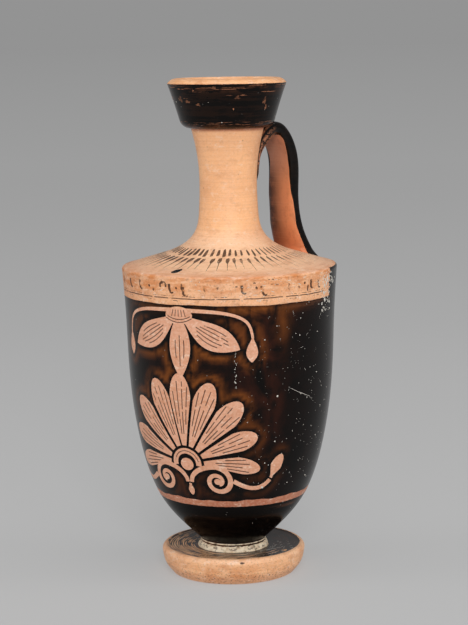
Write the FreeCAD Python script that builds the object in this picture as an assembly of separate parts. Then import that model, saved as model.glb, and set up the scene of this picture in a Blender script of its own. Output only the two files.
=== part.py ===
import FreeCAD, Part
import os

from FreeCAD import Vector

# A small oil flask of fired clay: thrown, turned and joined before firing, so it is one solid.
# Millimetres. Z is the axis, z = 0 is the resting plane, and the handle is at the back, on +Y.
# Shares say how far out and how far up a curve's point lies, between two other points.

# Foot: a disc with a hollowed underside, a rounded edge and a slightly dished top
foot_edge_radius = 25.9
foot_edge_height = 7.7
foot_rest_inset = 3.6
foot_rest_width = 4.4
foot_height = 9.7
foot_hollow_depth = 2.8
foot_rim_width = 2.4
foot_rim_drop = 0.25
foot_dish_depth = 0.9
foot_side_shares = ((0.36, 0.20), (0.70, 0.43), (0.89, 0.70))
foot_rim_shares = (0.35, 0.78)

# Stem: a very short waist, with a bead below a groove
stem_radius = 11.6
stem_height = 3.4
bead_height = 1.8
bead_stand = 0.85
groove_height = 0.65
collar_stand = 0.35

# Body: a cone on the stem that turns into a tall, slowly widening wall
body_height = 101.9
shoulder_edge_radius = 38.4
body_wall = 4.2
floor_thickness = 6.5
body_shares = (
    (0.375, 0.10),
    (0.535, 0.16),
    (0.642, 0.22),
    (0.742, 0.30),
    (0.828, 0.40),
    (0.897, 0.52),
    (0.938, 0.66),
    (0.960, 0.82),
)

# Shoulder: a crisp edge and a low cone, swept up into the neck
shoulder_edge_round = 0.7
shoulder_cone_radius = 21.9
shoulder_rise = 5.0
shoulder_wall = 4.6
sweep_height = 12.0
sweep_shares = ((0.570, 0.20), (0.265, 0.45), (0.085, 0.80), (0.030, 1.20))

# Neck: waisted, and widening a little under the mouth
neck_height = 43.8
neck_waist_radius = 10.2
neck_waist_share = 0.534
neck_top_radius = 12.9
neck_top_shares = ((0.13, 0.40), (0.50, 0.72))
bore_radius = 6.3

# Mouth: a bell with a small step under it, a flaring wall and a bevelled lip
mouth_step = 0.5
mouth_turn_width = 4.0
mouth_turn_rise = 2.8
mouth_turn_shares = (0.62, 0.30)
mouth_edge_radius = 21.1
mouth_height = 15.8
mouth_hollowing = 0.12
lip_width = 2.9
lip_rise = 1.8
lip_shares = (0.45, 0.72)
lip_inner_drop = 1.4
mouth_wall = 3.4
cup_depth = 10.8
cup_throat = 9.1
cup_shares = (0.62, 0.62)

# Cavity: where its curves pass, between the bore, the shoulder, the wall and the floor
funnel_shares = (0.22, 0.60)
cavity_corner_shares = (0.72, 0.30)
floor_shares = ((0.66, 0.26), (0.34, 0.05))

# Handle: a strap from the neck under the mouth to the shoulder, spread at its foot
strap_width = 13.2
strap_thickness = 4.6
strap_corner = 1.5
strap_crown = 0.35
strap_seat = 0.9
strap_seat_shares = (0.1, 0.3)
strap_back_inset = 11.5
strap_start_drop = 19.4
strap_rise_inset = 0.9
strap_rise_share = 0.391
strap_top_share = 0.481
strap_top_drop = 0.4
strap_turn_inset = 1.6
strap_turn_share = 0.511
strap_back_drop = 22.4
strap_flare_reach = 1.5
strap_flare_rise = 7.9
strap_foot_inset = 5.0
upper_root_width = 5.6
upper_root_share = 0.24
lower_root_width = 18.4
lower_root_thickness = 8.6
lower_root_crown = 1.3
lower_root_share = 0.66
strap_stations = 15


def at(radius, height):
    """A point of the turned outline."""
    return Vector(radius, 0, height)


def behind(radius, height):
    """A point of the handle's middle line."""
    return Vector(0, radius, height)


def between(a, b, share):
    return a + (b - a) * share


def inside(start, end, shares):
    """A point at the given shares of the way from start to end."""
    return at(between(start.x, end.x, shares[0]), between(start.z, end.z, shares[1]))


def line(start, end):
    return Part.LineSegment(start, end).toShape()


def arc(start, middle, end):
    return Part.Arc(start, middle, end).toShape()


def curve(points):
    spline = Part.BSplineCurve()
    spline.interpolate(points)
    return spline.toShape()


stem_base = foot_height - foot_dish_depth
body_start = at(stem_radius + collar_stand, stem_base + stem_height)
shoulder_edge_height = foot_height + body_height
shoulder_corner = at(shoulder_edge_radius, shoulder_edge_height)
cone_high = at(shoulder_cone_radius, shoulder_edge_height + shoulder_rise)
mouth_base = at(neck_top_radius, cone_high.z + neck_height)
mouth_turn = at(neck_top_radius + mouth_turn_width, mouth_base.z + mouth_turn_rise)
mouth_edge = at(mouth_edge_radius, mouth_base.z + mouth_height)
lip = at(mouth_edge_radius - lip_width, mouth_edge.z + lip_rise)
cavity_floor = at(0, body_start.z + floor_thickness)
cup_side = at(mouth_turn.x - mouth_wall, lip.z - cup_depth)
bore_top = at(bore_radius, cup_side.z - cup_throat)


def shoulder_height(radius):
    """Height of the shoulder's cone at a radius."""
    share = (shoulder_edge_radius - radius) / (shoulder_edge_radius - shoulder_cone_radius)
    return between(shoulder_edge_height, cone_high.z, share)


def body_point(shares, inset=0):
    point = inside(body_start, shoulder_corner, shares)
    return at(point.x - inset, point.z)


def foot_edges():
    """From the axis under the foot, round its edge, over its top and up the stem."""
    hollow = at(0, foot_hollow_depth)
    rest_out = at(foot_edge_radius - foot_rest_inset, 0)
    rest_in = at(rest_out.x - foot_rest_width, 0)
    hollow_side = at(rest_in.x - foot_hollow_depth / 2, foot_hollow_depth / 2)
    edge = at(foot_edge_radius, foot_edge_height)
    side = [rest_out] + [inside(rest_out, edge, shares) for shares in foot_side_shares] + [edge]
    rim_in = at(foot_edge_radius - foot_rim_width, foot_height - foot_rim_drop)
    rim_top = at(between(foot_edge_radius, rim_in.x, 0.7), foot_height)
    rim_round = inside(edge, rim_top, foot_rim_shares)
    dish_in = at(stem_radius + bead_stand, stem_base)
    bead_round = at(dish_in.x, stem_base + bead_height / 2)
    bead_top = at(stem_radius, stem_base + bead_height)
    groove_top = at(stem_radius, bead_top.z + groove_height)
    return [
        line(hollow, hollow_side),
        line(hollow_side, rest_in),
        line(rest_in, rest_out),
        curve(side),
        arc(edge, rim_round, rim_top),
        line(rim_top, rim_in),
        line(rim_in, dish_in),
        arc(dish_in, bead_round, bead_top),
        line(bead_top, groove_top),
        line(groove_top, body_start),
    ]


def body_edges():
    """The wall from the stem to the shoulder, the rounded shoulder edge and the cone."""
    wall_top = at(shoulder_edge_radius, shoulder_edge_height - shoulder_edge_round)
    wall = [body_start] + [body_point(shares) for shares in body_shares] + [wall_top]
    cone_start = shoulder_edge_radius - 1.5 * shoulder_edge_round
    cone_low = at(cone_start, shoulder_height(cone_start))
    edge_round = at(shoulder_edge_radius - 0.3 * shoulder_edge_round, shoulder_edge_height)
    return [
        curve(wall),
        arc(wall_top, edge_round, cone_low),
        line(cone_low, cone_high),
    ]


def neck_edges():
    """The sweep from the shoulder's cone through the waist to the foot of the mouth."""
    sweep_end = at(neck_waist_radius, cone_high.z + sweep_height)
    waist = at(neck_waist_radius, between(cone_high.z, mouth_base.z, neck_waist_share))
    points = [cone_high]
    for share_out, share_up in sweep_shares:
        points.append(inside(sweep_end, cone_high, (share_out, 1 - share_up)))
    points.append(waist)
    points += [inside(waist, mouth_base, shares) for shares in neck_top_shares]
    points.append(mouth_base)
    return [curve(points)]


def mouth_edges():
    """The bell of the mouth, its bevelled lip, and the cup inside it down to the bore."""
    step = mouth_base + at(mouth_step, mouth_step / 5)
    wall_middle = inside(mouth_turn, mouth_edge, (0.5, 0.5)) - at(mouth_hollowing, 0)
    lip_in = at(mouth_edge_radius - mouth_wall - mouth_step, lip.z - lip_inner_drop)
    return [
        line(mouth_base, step),
        arc(step, inside(step, mouth_turn, mouth_turn_shares), mouth_turn),
        arc(mouth_turn, wall_middle, mouth_edge),
        arc(mouth_edge, inside(mouth_edge, lip, lip_shares), lip),
        line(lip, lip_in),
        line(lip_in, cup_side),
        curve([cup_side, inside(bore_top, cup_side, cup_shares), bore_top]),
    ]


def cavity_edges():
    """The bore, the underside of the shoulder and the inside of the body, down to the floor."""
    bore_end = at(bore_radius, cone_high.z + 0.75 * sweep_height)
    under_cone = at(shoulder_cone_radius - body_wall, cone_high.z - shoulder_wall)
    corner_radius = shoulder_edge_radius - 1.7 * body_wall
    corner_in = at(corner_radius, shoulder_height(corner_radius) - shoulder_wall)
    corner_out = at(shoulder_edge_radius - 1.05 * body_wall, corner_in.z - 0.8 * body_wall)
    side = [corner_out]
    side += [body_point(shares, body_wall) for shares in reversed(body_shares[1:7])]
    side_low = side[-1]
    side += [inside(cavity_floor, side_low, shares) for shares in floor_shares]
    side.append(cavity_floor)
    return [
        line(bore_top, bore_end),
        curve([bore_end, inside(bore_end, under_cone, funnel_shares), under_cone]),
        line(under_cone, corner_in),
        arc(corner_in, inside(corner_in, corner_out, cavity_corner_shares), corner_out),
        curve(side),
    ]


def turned_flask():
    """Everything that the wheel makes: the closed outline turned about the axis."""
    edges = foot_edges() + body_edges() + neck_edges() + mouth_edges() + cavity_edges()
    edges.append(line(cavity_floor, at(0, foot_hollow_depth)))
    outline = Part.Wire(Part.__sortEdges__(edges))
    return Part.Face(outline).revolve(Vector(0, 0, 0), Vector(0, 0, 1), 360)


def strap_section(centre, direction, width, thickness, crown, seat):
    """A rounded rectangle across the strap: flat towards the neck, with a crowned back."""
    across = Vector(1, 0, 0)
    out = across.cross(direction).normalize()
    corner = min(strap_corner, thickness / 3)
    side = width / 2
    front = -thickness / 2
    top = thickness / 2 + seat
    back = top - crown
    flat = side - corner
    cut = corner * (1 - 0.5 ** 0.5)

    def point(x, y):
        return centre + across * x + out * y

    front_right = point(flat, front)
    side_right_front = point(side, front + corner)
    side_right_back = point(side, back - corner)
    back_right = point(flat, back)
    back_left = point(-flat, back)
    side_left_back = point(-side, back - corner)
    side_left_front = point(-side, front + corner)
    front_left = point(-flat, front)
    return Part.Wire([
        line(front_left, front_right),
        arc(front_right, point(side - cut, front + cut), side_right_front),
        line(side_right_front, side_right_back),
        arc(side_right_back, point(side - cut, back - cut), back_right),
        arc(back_right, point(0, top), back_left),
        arc(back_left, point(cut - side, back - cut), side_left_back),
        line(side_left_back, side_left_front),
        arc(side_left_front, point(cut - side, front + cut), front_left),
    ])


def strap_path():
    """The middle line of the handle, from inside the neck's wall to inside the shoulder's."""
    start_radius = (bore_radius + neck_waist_radius) / 2
    rise_radius = neck_top_radius - strap_rise_inset
    back_radius = shoulder_edge_radius - strap_back_inset
    turn_radius = back_radius - strap_turn_inset
    span = turn_radius - rise_radius
    top = behind(rise_radius + span * strap_top_share, mouth_base.z - strap_top_drop)
    flare_radius = back_radius + strap_flare_reach
    foot_radius = shoulder_edge_radius - strap_foot_inset
    path = Part.BSplineCurve()
    path.interpolate([
        behind(start_radius, mouth_base.z - strap_start_drop),
        behind(rise_radius, top.z - span * strap_rise_share),
        top,
        behind(turn_radius, top.z - span * strap_turn_share),
        behind(back_radius, mouth_base.z - strap_back_drop),
        behind(flare_radius, shoulder_height(flare_radius) + strap_flare_rise),
        behind(foot_radius, shoulder_height(foot_radius) - shoulder_wall / 2),
    ])
    return path


def handle():
    """The strap, lofted through sections set square to its path."""
    path = strap_path()
    into_shoulder = behind(-shoulder_rise, shoulder_cone_radius - shoulder_edge_radius).normalize()
    upper_root_thickness = 0.65 * (neck_waist_radius - bore_radius)
    sections = []
    for station in range(strap_stations):
        share = station / (strap_stations - 1)
        parameter = between(path.FirstParameter, path.LastParameter, share)
        rising = min(share / upper_root_share, 1)
        landing = max((share - lower_root_share) / (1 - lower_root_share), 0)
        seated = (share - strap_seat_shares[0]) / (strap_seat_shares[1] - strap_seat_shares[0])
        seat = strap_seat * max(4 * seated * (1 - seated), 0)
        width = between(upper_root_width, strap_width, rising)
        width += (lower_root_width - strap_width) * landing ** 1.7
        thickness = between(upper_root_thickness, strap_thickness, rising)
        thickness += (lower_root_thickness - strap_thickness) * landing ** 4
        crown = between(strap_crown, lower_root_crown, landing ** 3)
        direction = between(path.tangent(parameter)[0], into_shoulder, landing ** 4)
        centre = path.value(parameter)
        sections.append(strap_section(centre, direction, width, thickness, crown, seat))
    return Part.makeLoft(sections, True, False)


flask = turned_flask().fuse(handle()).removeSplitter().Solids[0]
print("valid", flask.isValid(), "volume in cm3", round(flask.Volume / 1000, 2))
os.makedirs("parts", exist_ok=True)
flask.exportStep("parts/lekythos.step")
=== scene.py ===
import math

import bpy
import numpy as np
from mathutils import Matrix, Vector
from mathutils.geometry import delaunay_2d_cdt


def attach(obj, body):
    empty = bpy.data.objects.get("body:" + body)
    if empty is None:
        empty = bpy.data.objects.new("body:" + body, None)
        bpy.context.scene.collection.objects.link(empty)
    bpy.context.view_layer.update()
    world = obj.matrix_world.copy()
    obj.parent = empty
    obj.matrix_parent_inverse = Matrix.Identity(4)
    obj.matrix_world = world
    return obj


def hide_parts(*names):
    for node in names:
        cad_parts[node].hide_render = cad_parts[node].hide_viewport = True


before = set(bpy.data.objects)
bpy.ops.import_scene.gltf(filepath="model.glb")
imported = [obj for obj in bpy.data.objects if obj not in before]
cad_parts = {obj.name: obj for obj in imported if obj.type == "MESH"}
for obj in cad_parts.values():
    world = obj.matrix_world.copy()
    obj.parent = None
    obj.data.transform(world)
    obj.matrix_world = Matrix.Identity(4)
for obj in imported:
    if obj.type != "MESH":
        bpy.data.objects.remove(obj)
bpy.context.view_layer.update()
random = np.random.default_rng(11)

# Lengths are in millimetres up to the meshes, which are in metres.
# An angle round the pot is 0 at the front, on -Y, and grows to the right as seen from outside.
METRES = 0.001
REFERENCE_RADIUS = 36.0
# The painted pattern is laid flat from minus to plus the seam, in so many columns of cells.
SEAM = math.pi * REFERENCE_RADIUS
COLUMNS = 180

# Sizes of the turned form, the same as in the part's source
foot_edge_radius = 25.9
foot_edge_height = 7.7
foot_rest_inset = 3.6
foot_rest_width = 4.4
foot_height = 9.7
foot_hollow_depth = 2.8
foot_rim_width = 2.4
foot_rim_drop = 0.25
foot_dish_depth = 0.9
foot_side_shares = ((0.36, 0.20), (0.70, 0.43), (0.89, 0.70))
foot_rim_shares = (0.35, 0.78)
stem_radius = 11.6
stem_height = 3.4
bead_height = 1.8
bead_stand = 0.85
groove_height = 0.65
collar_stand = 0.35
body_height = 101.9
shoulder_edge_radius = 38.4
body_wall = 4.2
floor_thickness = 6.5
body_shares = (
    (0.375, 0.10),
    (0.535, 0.16),
    (0.642, 0.22),
    (0.742, 0.30),
    (0.828, 0.40),
    (0.897, 0.52),
    (0.938, 0.66),
    (0.960, 0.82),
)
shoulder_edge_round = 0.7
shoulder_cone_radius = 21.9
shoulder_rise = 5.0
shoulder_wall = 4.6
sweep_height = 12.0
sweep_shares = ((0.570, 0.20), (0.265, 0.45), (0.085, 0.80), (0.030, 1.20))
neck_height = 43.8
neck_waist_radius = 10.2
neck_waist_share = 0.534
neck_top_radius = 12.9
neck_top_shares = ((0.13, 0.40), (0.50, 0.72))
bore_radius = 6.3
mouth_step = 0.5
mouth_turn_width = 4.0
mouth_turn_rise = 2.8
mouth_turn_shares = (0.62, 0.30)
mouth_edge_radius = 21.1
mouth_height = 15.8
mouth_hollowing = 0.12
lip_width = 2.9
lip_rise = 1.8
lip_shares = (0.45, 0.72)
lip_inner_drop = 1.4
mouth_wall = 3.4
cup_depth = 10.8
cup_throat = 9.1
cup_shares = (0.62, 0.62)
funnel_shares = (0.22, 0.60)
cavity_corner_shares = (0.72, 0.30)
floor_shares = ((0.66, 0.26), (0.34, 0.05))

# Sizes of the strap handle, the same as in the part's source
strap_width = 13.2
strap_thickness = 4.6
strap_corner = 1.5
strap_crown = 0.35
strap_seat = 0.9
strap_seat_shares = (0.1, 0.3)
strap_back_inset = 11.5
strap_start_drop = 19.4
strap_rise_inset = 0.9
strap_rise_share = 0.391
strap_top_share = 0.481
strap_top_drop = 0.4
strap_turn_inset = 1.6
strap_turn_share = 0.511
strap_back_drop = 22.4
strap_flare_reach = 1.5
strap_flare_rise = 7.9
strap_foot_inset = 5.0
upper_root_width = 5.6
upper_root_share = 0.24
lower_root_width = 18.4
lower_root_thickness = 8.6
lower_root_crown = 1.3
lower_root_share = 0.66

# Where the paint lies: radii and heights in millimetres, angles in degrees
foot_black_radius = 24.1
stem_black_top = 29.3
body_black_low = 31.75
body_black_high = 101.9
band_end_angle = 115.5
band_end_heights = (101.0, 111.8)
picture_angle = 20.0
palmette_heart = (0.0, 45.6)
palmette_step = 21.5
palmette_leaf = 32.5
volute_centre = (10.4, 39.2)
flower_top = (0.6, 99.4)
tongue_count = 58
tongue_end_angles = (176.0, 158.0)
band_line_end_angles = (-116.0, 114.0)

# The bare inner face of the handle opens at this share of the strap's way
bare_start_share = 0.352
bare_start_reach = 0.02


def point(radius, height):
    """A point of the section."""
    return np.array([radius, height], float)


def between(a, b, share):
    """The value at a share of the way from a to b."""
    return a + (b - a) * share


def inside(start, end, shares):
    """The point at two shares, across and up, of the way from start to end."""
    return start + (end - start) * np.array(shares)


def smooth_steps(value, low, high):
    """0 below low and 1 above high, smooth between; falling where high is lower."""
    share = np.clip((value - low) / (high - low), 0, 1)
    return share * share * (3 - 2 * share)


def run_line(start, end, step=1.0):
    """Points of the straight line between two points."""
    count = max(int(math.ceil(np.linalg.norm(end - start) / step)), 1)
    return start + (end - start) * np.linspace(0, 1, count + 1)[:, None]


def run_arc(start, middle, end, step=0.6):
    """Points of the arc through three points."""
    chord_a = middle - start
    chord_b = end - start
    matrix = 2 * np.array([chord_a, chord_b])
    offset = np.linalg.solve(matrix, [chord_a @ chord_a, chord_b @ chord_b])
    centre = start + offset
    radius = np.linalg.norm(offset)
    angles = [math.atan2(*(p - centre)[::-1]) for p in (start, middle, end)]
    turn_middle = (angles[1] - angles[0] + math.pi) % (2 * math.pi) - math.pi
    turn_end = turn_middle + (angles[2] - angles[1] + math.pi) % (2 * math.pi) - math.pi
    count = max(int(math.ceil(abs(turn_end) * radius / step)), 3)
    turned = angles[0] + turn_end * np.linspace(0, 1, count + 1)
    return centre + radius * np.stack([np.cos(turned), np.sin(turned)], 1)


def run_curve(points, step=1.0):
    """Points of the natural cubic spline through the given points."""
    knots = np.array(points, float)
    gaps = np.linalg.norm(np.diff(knots, axis=0), axis=1)
    along = np.concatenate([[0], np.cumsum(gaps)])
    count = len(knots)
    matrix = np.eye(count)
    right = np.zeros((count, knots.shape[1]))
    for i in range(1, count - 1):
        matrix[i, i - 1] = gaps[i - 1]
        matrix[i, i] = 2 * (gaps[i - 1] + gaps[i])
        matrix[i, i + 1] = gaps[i]
        right[i] = 6 * ((knots[i + 1] - knots[i]) / gaps[i] - (knots[i] - knots[i - 1]) / gaps[i - 1])
    bend = np.linalg.solve(matrix, right)
    steps = np.linspace(0, along[-1], max(int(math.ceil(along[-1] / step)), 2) + 1)
    cell = np.clip(np.searchsorted(along, steps, side="right") - 1, 0, count - 2)
    gap = gaps[cell][:, None]
    after = (steps - along[cell])[:, None]
    before = gap - after
    linear_low = knots[cell] / gap - bend[cell] * gap / 6
    linear_high = knots[cell + 1] / gap - bend[cell + 1] * gap / 6
    cubic = (bend[cell] * before ** 3 + bend[cell + 1] * after ** 3) / (6 * gap)
    return cubic + linear_low * before + linear_high * after


stem_base = foot_height - foot_dish_depth
body_start = point(stem_radius + collar_stand, stem_base + stem_height)
shoulder_edge_height = foot_height + body_height
shoulder_corner = point(shoulder_edge_radius, shoulder_edge_height)
cone_high = point(shoulder_cone_radius, shoulder_edge_height + shoulder_rise)
mouth_base = point(neck_top_radius, cone_high[1] + neck_height)
mouth_turn = point(neck_top_radius + mouth_turn_width, mouth_base[1] + mouth_turn_rise)
mouth_edge = point(mouth_edge_radius, mouth_base[1] + mouth_height)
lip = point(mouth_edge_radius - lip_width, mouth_edge[1] + lip_rise)
cavity_floor = point(0, body_start[1] + floor_thickness)
cup_side = point(mouth_turn[0] - mouth_wall, lip[1] - cup_depth)
bore_top = point(bore_radius, cup_side[1] - cup_throat)


def shoulder_height(radius):
    """The height of the cone of the shoulder at a radius."""
    share = (shoulder_edge_radius - radius) / (shoulder_edge_radius - shoulder_cone_radius)
    return between(shoulder_edge_height, cone_high[1], share)


def body_point(shares, inset=0):
    """A point of the wall of the body by its shares, or one as far inside it as the inset."""
    return inside(body_start, shoulder_corner, shares) - point(inset, 0)


def foot_runs():
    """From the axis under the foot, round its edge, over its top and up the stem."""
    rest_out = point(foot_edge_radius - foot_rest_inset, 0)
    rest_in = rest_out - point(foot_rest_width, 0)
    hollow_side = point(rest_in[0] - foot_hollow_depth / 2, foot_hollow_depth / 2)
    edge = point(foot_edge_radius, foot_edge_height)
    side = [rest_out] + [inside(rest_out, edge, shares) for shares in foot_side_shares] + [edge]
    rim_in = point(foot_edge_radius - foot_rim_width, foot_height - foot_rim_drop)
    rim_top = point(between(foot_edge_radius, rim_in[0], 0.7), foot_height)
    dish_in = point(stem_radius + bead_stand, stem_base)
    bead_round = point(dish_in[0], stem_base + bead_height / 2)
    bead_top = point(stem_radius, stem_base + bead_height)
    groove_top = point(stem_radius, bead_top[1] + groove_height)
    return [
        run_line(point(0, foot_hollow_depth), hollow_side, 2.5),
        run_line(hollow_side, rest_in),
        run_line(rest_in, rest_out),
        run_curve(side, 0.7),
        run_arc(edge, inside(edge, rim_top, foot_rim_shares), rim_top, 0.35),
        run_line(rim_top, rim_in),
        run_line(rim_in, dish_in),
        run_arc(dish_in, bead_round, bead_top, 0.3),
        run_line(bead_top, groove_top),
        run_line(groove_top, body_start),
    ]


def wall_runs():
    """The wall from the stem to the shoulder, the rounded edge, the cone and the neck."""
    wall_top = point(shoulder_edge_radius, shoulder_edge_height - shoulder_edge_round)
    wall = [body_start] + [body_point(shares) for shares in body_shares] + [wall_top]
    cone_start = shoulder_edge_radius - 1.5 * shoulder_edge_round
    cone_low = point(cone_start, shoulder_height(cone_start))
    edge_round = point(shoulder_edge_radius - 0.3 * shoulder_edge_round, shoulder_edge_height)
    sweep_end = point(neck_waist_radius, cone_high[1] + sweep_height)
    waist = point(neck_waist_radius, between(cone_high[1], mouth_base[1], neck_waist_share))
    neck = [cone_high]
    neck += [inside(sweep_end, cone_high, (out, 1 - up)) for out, up in sweep_shares]
    neck.append(waist)
    neck += [inside(waist, mouth_base, shares) for shares in neck_top_shares]
    neck.append(mouth_base)
    return [
        run_curve(wall, 1.3),
        run_arc(wall_top, edge_round, cone_low, 0.25),
        run_line(cone_low, cone_high),
        run_curve(neck, 1.2),
    ]


def mouth_runs():
    """The bell of the mouth, its bevelled lip, and the cup inside it down to the bore."""
    step = mouth_base + point(mouth_step, mouth_step / 5)
    wall_middle = inside(mouth_turn, mouth_edge, (0.5, 0.5)) - point(mouth_hollowing, 0)
    lip_in = point(mouth_edge_radius - mouth_wall - mouth_step, lip[1] - lip_inner_drop)
    return [
        run_line(mouth_base, step),
        run_arc(step, inside(step, mouth_turn, mouth_turn_shares), mouth_turn, 0.5),
        run_arc(mouth_turn, wall_middle, mouth_edge, 1.2),
        run_arc(mouth_edge, inside(mouth_edge, lip, lip_shares), lip, 0.35),
        run_line(lip, lip_in),
        run_line(lip_in, cup_side, 1.5),
        run_curve([cup_side, inside(bore_top, cup_side, cup_shares), bore_top], 1.5),
    ]


def cavity_runs():
    """The bore, the underside of the shoulder and the inside of the body, down to the floor."""
    bore_end = point(bore_radius, cone_high[1] + 0.75 * sweep_height)
    under_cone = point(shoulder_cone_radius - body_wall, cone_high[1] - shoulder_wall)
    corner_radius = shoulder_edge_radius - 1.7 * body_wall
    corner_in = point(corner_radius, shoulder_height(corner_radius) - shoulder_wall)
    corner_out = point(shoulder_edge_radius - 1.05 * body_wall, corner_in[1] - 0.8 * body_wall)
    side = [corner_out]
    side += [body_point(shares, body_wall) for shares in reversed(body_shares[1:7])]
    side_low = side[-1]
    side += [inside(cavity_floor, side_low, shares) for shares in floor_shares]
    side.append(cavity_floor)
    corner_middle = inside(corner_in, corner_out, cavity_corner_shares)
    return [
        run_line(bore_top, bore_end, 6),
        run_curve([bore_end, inside(bore_end, under_cone, funnel_shares), under_cone], 3),
        run_line(under_cone, corner_in, 4),
        run_arc(corner_in, corner_middle, corner_out, 2),
        run_curve(side, 4),
    ]


def join_runs(runs, crease=math.radians(20), bevel=0.05):
    """One list of rows from the runs: place, outward normal and distance along the outline."""
    rows, normals = [], []
    for run in runs:
        tangents = np.gradient(run, axis=0)
        tangents[0] = 2 * (run[1] - run[0]) - tangents[1] if len(run) > 2 else tangents[0]
        tangents[-1] = 2 * (run[-1] - run[-2]) - tangents[-2] if len(run) > 2 else tangents[-1]
        tangents /= np.linalg.norm(tangents, axis=1)[:, None]
        outward = np.stack([tangents[:, 1], -tangents[:, 0]], 1)
        places = run.copy()
        if rows:
            turned = math.acos(np.clip(normals[-1] @ outward[0], -1, 1))
            if turned > crease:
                into = places[1] - places[0]
                back = rows[-2] - rows[-1]
                rows[-1] = rows[-1] + back / np.linalg.norm(back) * bevel
                places[0] = places[0] + into / np.linalg.norm(into) * bevel
            else:
                mean = normals[-1] + outward[0]
                normals[-1] = mean / np.linalg.norm(mean)
                places = places[1:]
                outward = outward[1:]
        rows.extend(places)
        normals.extend(outward)
    rows = np.array(rows)
    along = np.concatenate([[0], np.cumsum(np.linalg.norm(np.diff(rows, axis=0), axis=1))])
    return rows, np.array(normals), along


outer_runs = foot_runs() + wall_runs() + mouth_runs()
rows, row_normals, row_along = join_runs(outer_runs + cavity_runs())
rows[0][0] = 0
rows[-1][0] = 0


def nearest_row(spot):
    """The row of the outline nearest to a point of the section."""
    return int(np.argmin(np.linalg.norm(rows - spot, axis=1)))


lip_row = int(np.argmax(rows[:, 1]))
stem_row = nearest_row(body_start)
rim_row = nearest_row(point(foot_edge_radius - 0.7 * foot_rim_width, foot_height))
dish_row = rim_row + int(np.argmin(rows[rim_row:stem_row, 1]))
shoulder_row = stem_row + int(np.argmin(np.abs(rows[stem_row:lip_row, 1] - shoulder_edge_height)))
waist_row = shoulder_row + int(np.argmin(rows[shoulder_row:lip_row, 0]))


def outline_lookup(start, stop, column):
    """A function for the distance along the outline of a radius (column 0) or a height (column 1)."""
    part = slice(start, stop, 1 if stop > start else -1)
    return lambda value: np.interp(value, rows[part, column], row_along[part])


along_height = outline_lookup(stem_row, lip_row + 1, 1)
along_radius = outline_lookup(waist_row, shoulder_row - 1, 0)
along_foot_height = outline_lookup(dish_row, stem_row + 1, 1)
along_foot_radius = outline_lookup(stem_row - 1, rim_row - 1, 0)


def radius_along(along):
    """The radius at distances along the outline."""
    return np.interp(along, row_along, rows[:, 0])


def wave(angles, size, lengths=(40.0, 17.0, 7.0, 3.1), seed=0):
    """A hand-drawn line's unevenness: a sum of waves that closes after a full turn."""
    draw = np.random.default_rng(100 + seed)
    total = np.zeros(len(angles))
    for degrees in lengths:
        cycles = max(round(360 / degrees), 1)
        total += draw.uniform(0.4, 1.0) * np.sin(np.radians(angles) * cycles + draw.uniform(0, 7))
    return total * size / 2


def domain(angle, along):
    """A point of the flat pattern: turned distance at the reference radius, and distance along."""
    return np.stack([np.radians(angle) * REFERENCE_RADIUS, along], -1)


# In the order of the flask's materials
CLAY, GLOSS, INK, CHALK, PLASTER = range(5)
shapes = []


def add_shape(outline, paint, fade=0.0, guard=False):
    """A painted shape over the earlier ones. A guarded one is a reserved shape of the picture."""
    shapes.append({"outline": np.array(outline, float), "paint": paint, "fade": fade, "guard": guard})


def closed(side, other):
    """A closed outline: along one side and back along the other."""
    return np.concatenate([side, other[::-1]])


def add_band(low, high, paint, low_wave=0.0, high_wave=0.0, seed=0):
    """A zone all round, between two distances along."""
    angles = np.linspace(-180, 180, 481)
    bottom = domain(angles, low + wave(angles, low_wave, seed=seed))
    top = domain(angles, high + wave(angles, high_wave, seed=seed + 1))
    add_shape(closed(bottom, top), paint)


def side_steps(path, widths):
    """The steps from a path to the left side of a stroke of the given widths."""
    tangents = np.gradient(path, axis=0)
    tangents /= np.linalg.norm(tangents, axis=1)[:, None] + 1e-12
    half = np.broadcast_to(np.array(widths, float), len(path))[:, None] / 2
    return np.stack([-tangents[:, 1], tangents[:, 0]], 1) * half


def add_stroke(angles, alongs, widths, fade=0.0, paint=INK):
    """A brush stroke through points, of the given widths in millimetres on the real surface."""
    path = domain(np.array(angles, float), np.array(alongs, float))
    shrink = np.stack([radius_along(path[:, 1]) / REFERENCE_RADIUS, np.ones(len(path))], 1)
    step = side_steps(path * shrink, widths) / shrink
    add_shape(closed(path + step, path - step), paint, fade)


def add_wall_stroke(angles, heights, widths, fade=0.0, paint=INK):
    """A brush stroke by its angles and its heights on the wall."""
    add_stroke(angles, along_height(heights), widths, fade, paint)


def swell(count, low=0.2, high=2.9):
    """The pressure of a brush on the way, from near 0 up to 1 and back."""
    return np.sin(np.linspace(low, high, count))


def place(across, heights):
    """Points of the picture: millimetres across from its middle line, and heights on the wall."""
    across = np.array(across, float)
    along = along_height(np.array(heights, float))
    shift = across * REFERENCE_RADIUS / radius_along(along)
    return np.stack([np.radians(picture_angle) * REFERENCE_RADIUS + shift, along], -1)


def picture_stroke(across, heights, widths, fade=0.2, paint=INK):
    """A painted stroke in the picture."""
    path = place(across, heights)
    add_stroke(np.degrees(path[:, 0] / REFERENCE_RADIUS), path[:, 1], widths, fade, paint)


def picture_shape(points):
    """A reserved shape of bare clay in the picture."""
    add_shape(place(points[:, 0], points[:, 1]), CLAY, guard=True)


def picture_band(across, up, widths):
    """A reserved stroke of clay."""
    path = np.stack([across, up], 1)
    step = side_steps(path, widths)
    picture_shape(closed(path + step, path - step))


def turned(points, angle, origin=(0, 0)):
    """Points turned clockwise from upright and moved to the origin."""
    cos, sin = math.cos(math.radians(angle)), math.sin(math.radians(angle))
    across = points[:, 0] * cos + points[:, 1] * sin
    up = points[:, 1] * cos - points[:, 0] * sin
    return np.stack([across + origin[0], up + origin[1]], 1)


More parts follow.
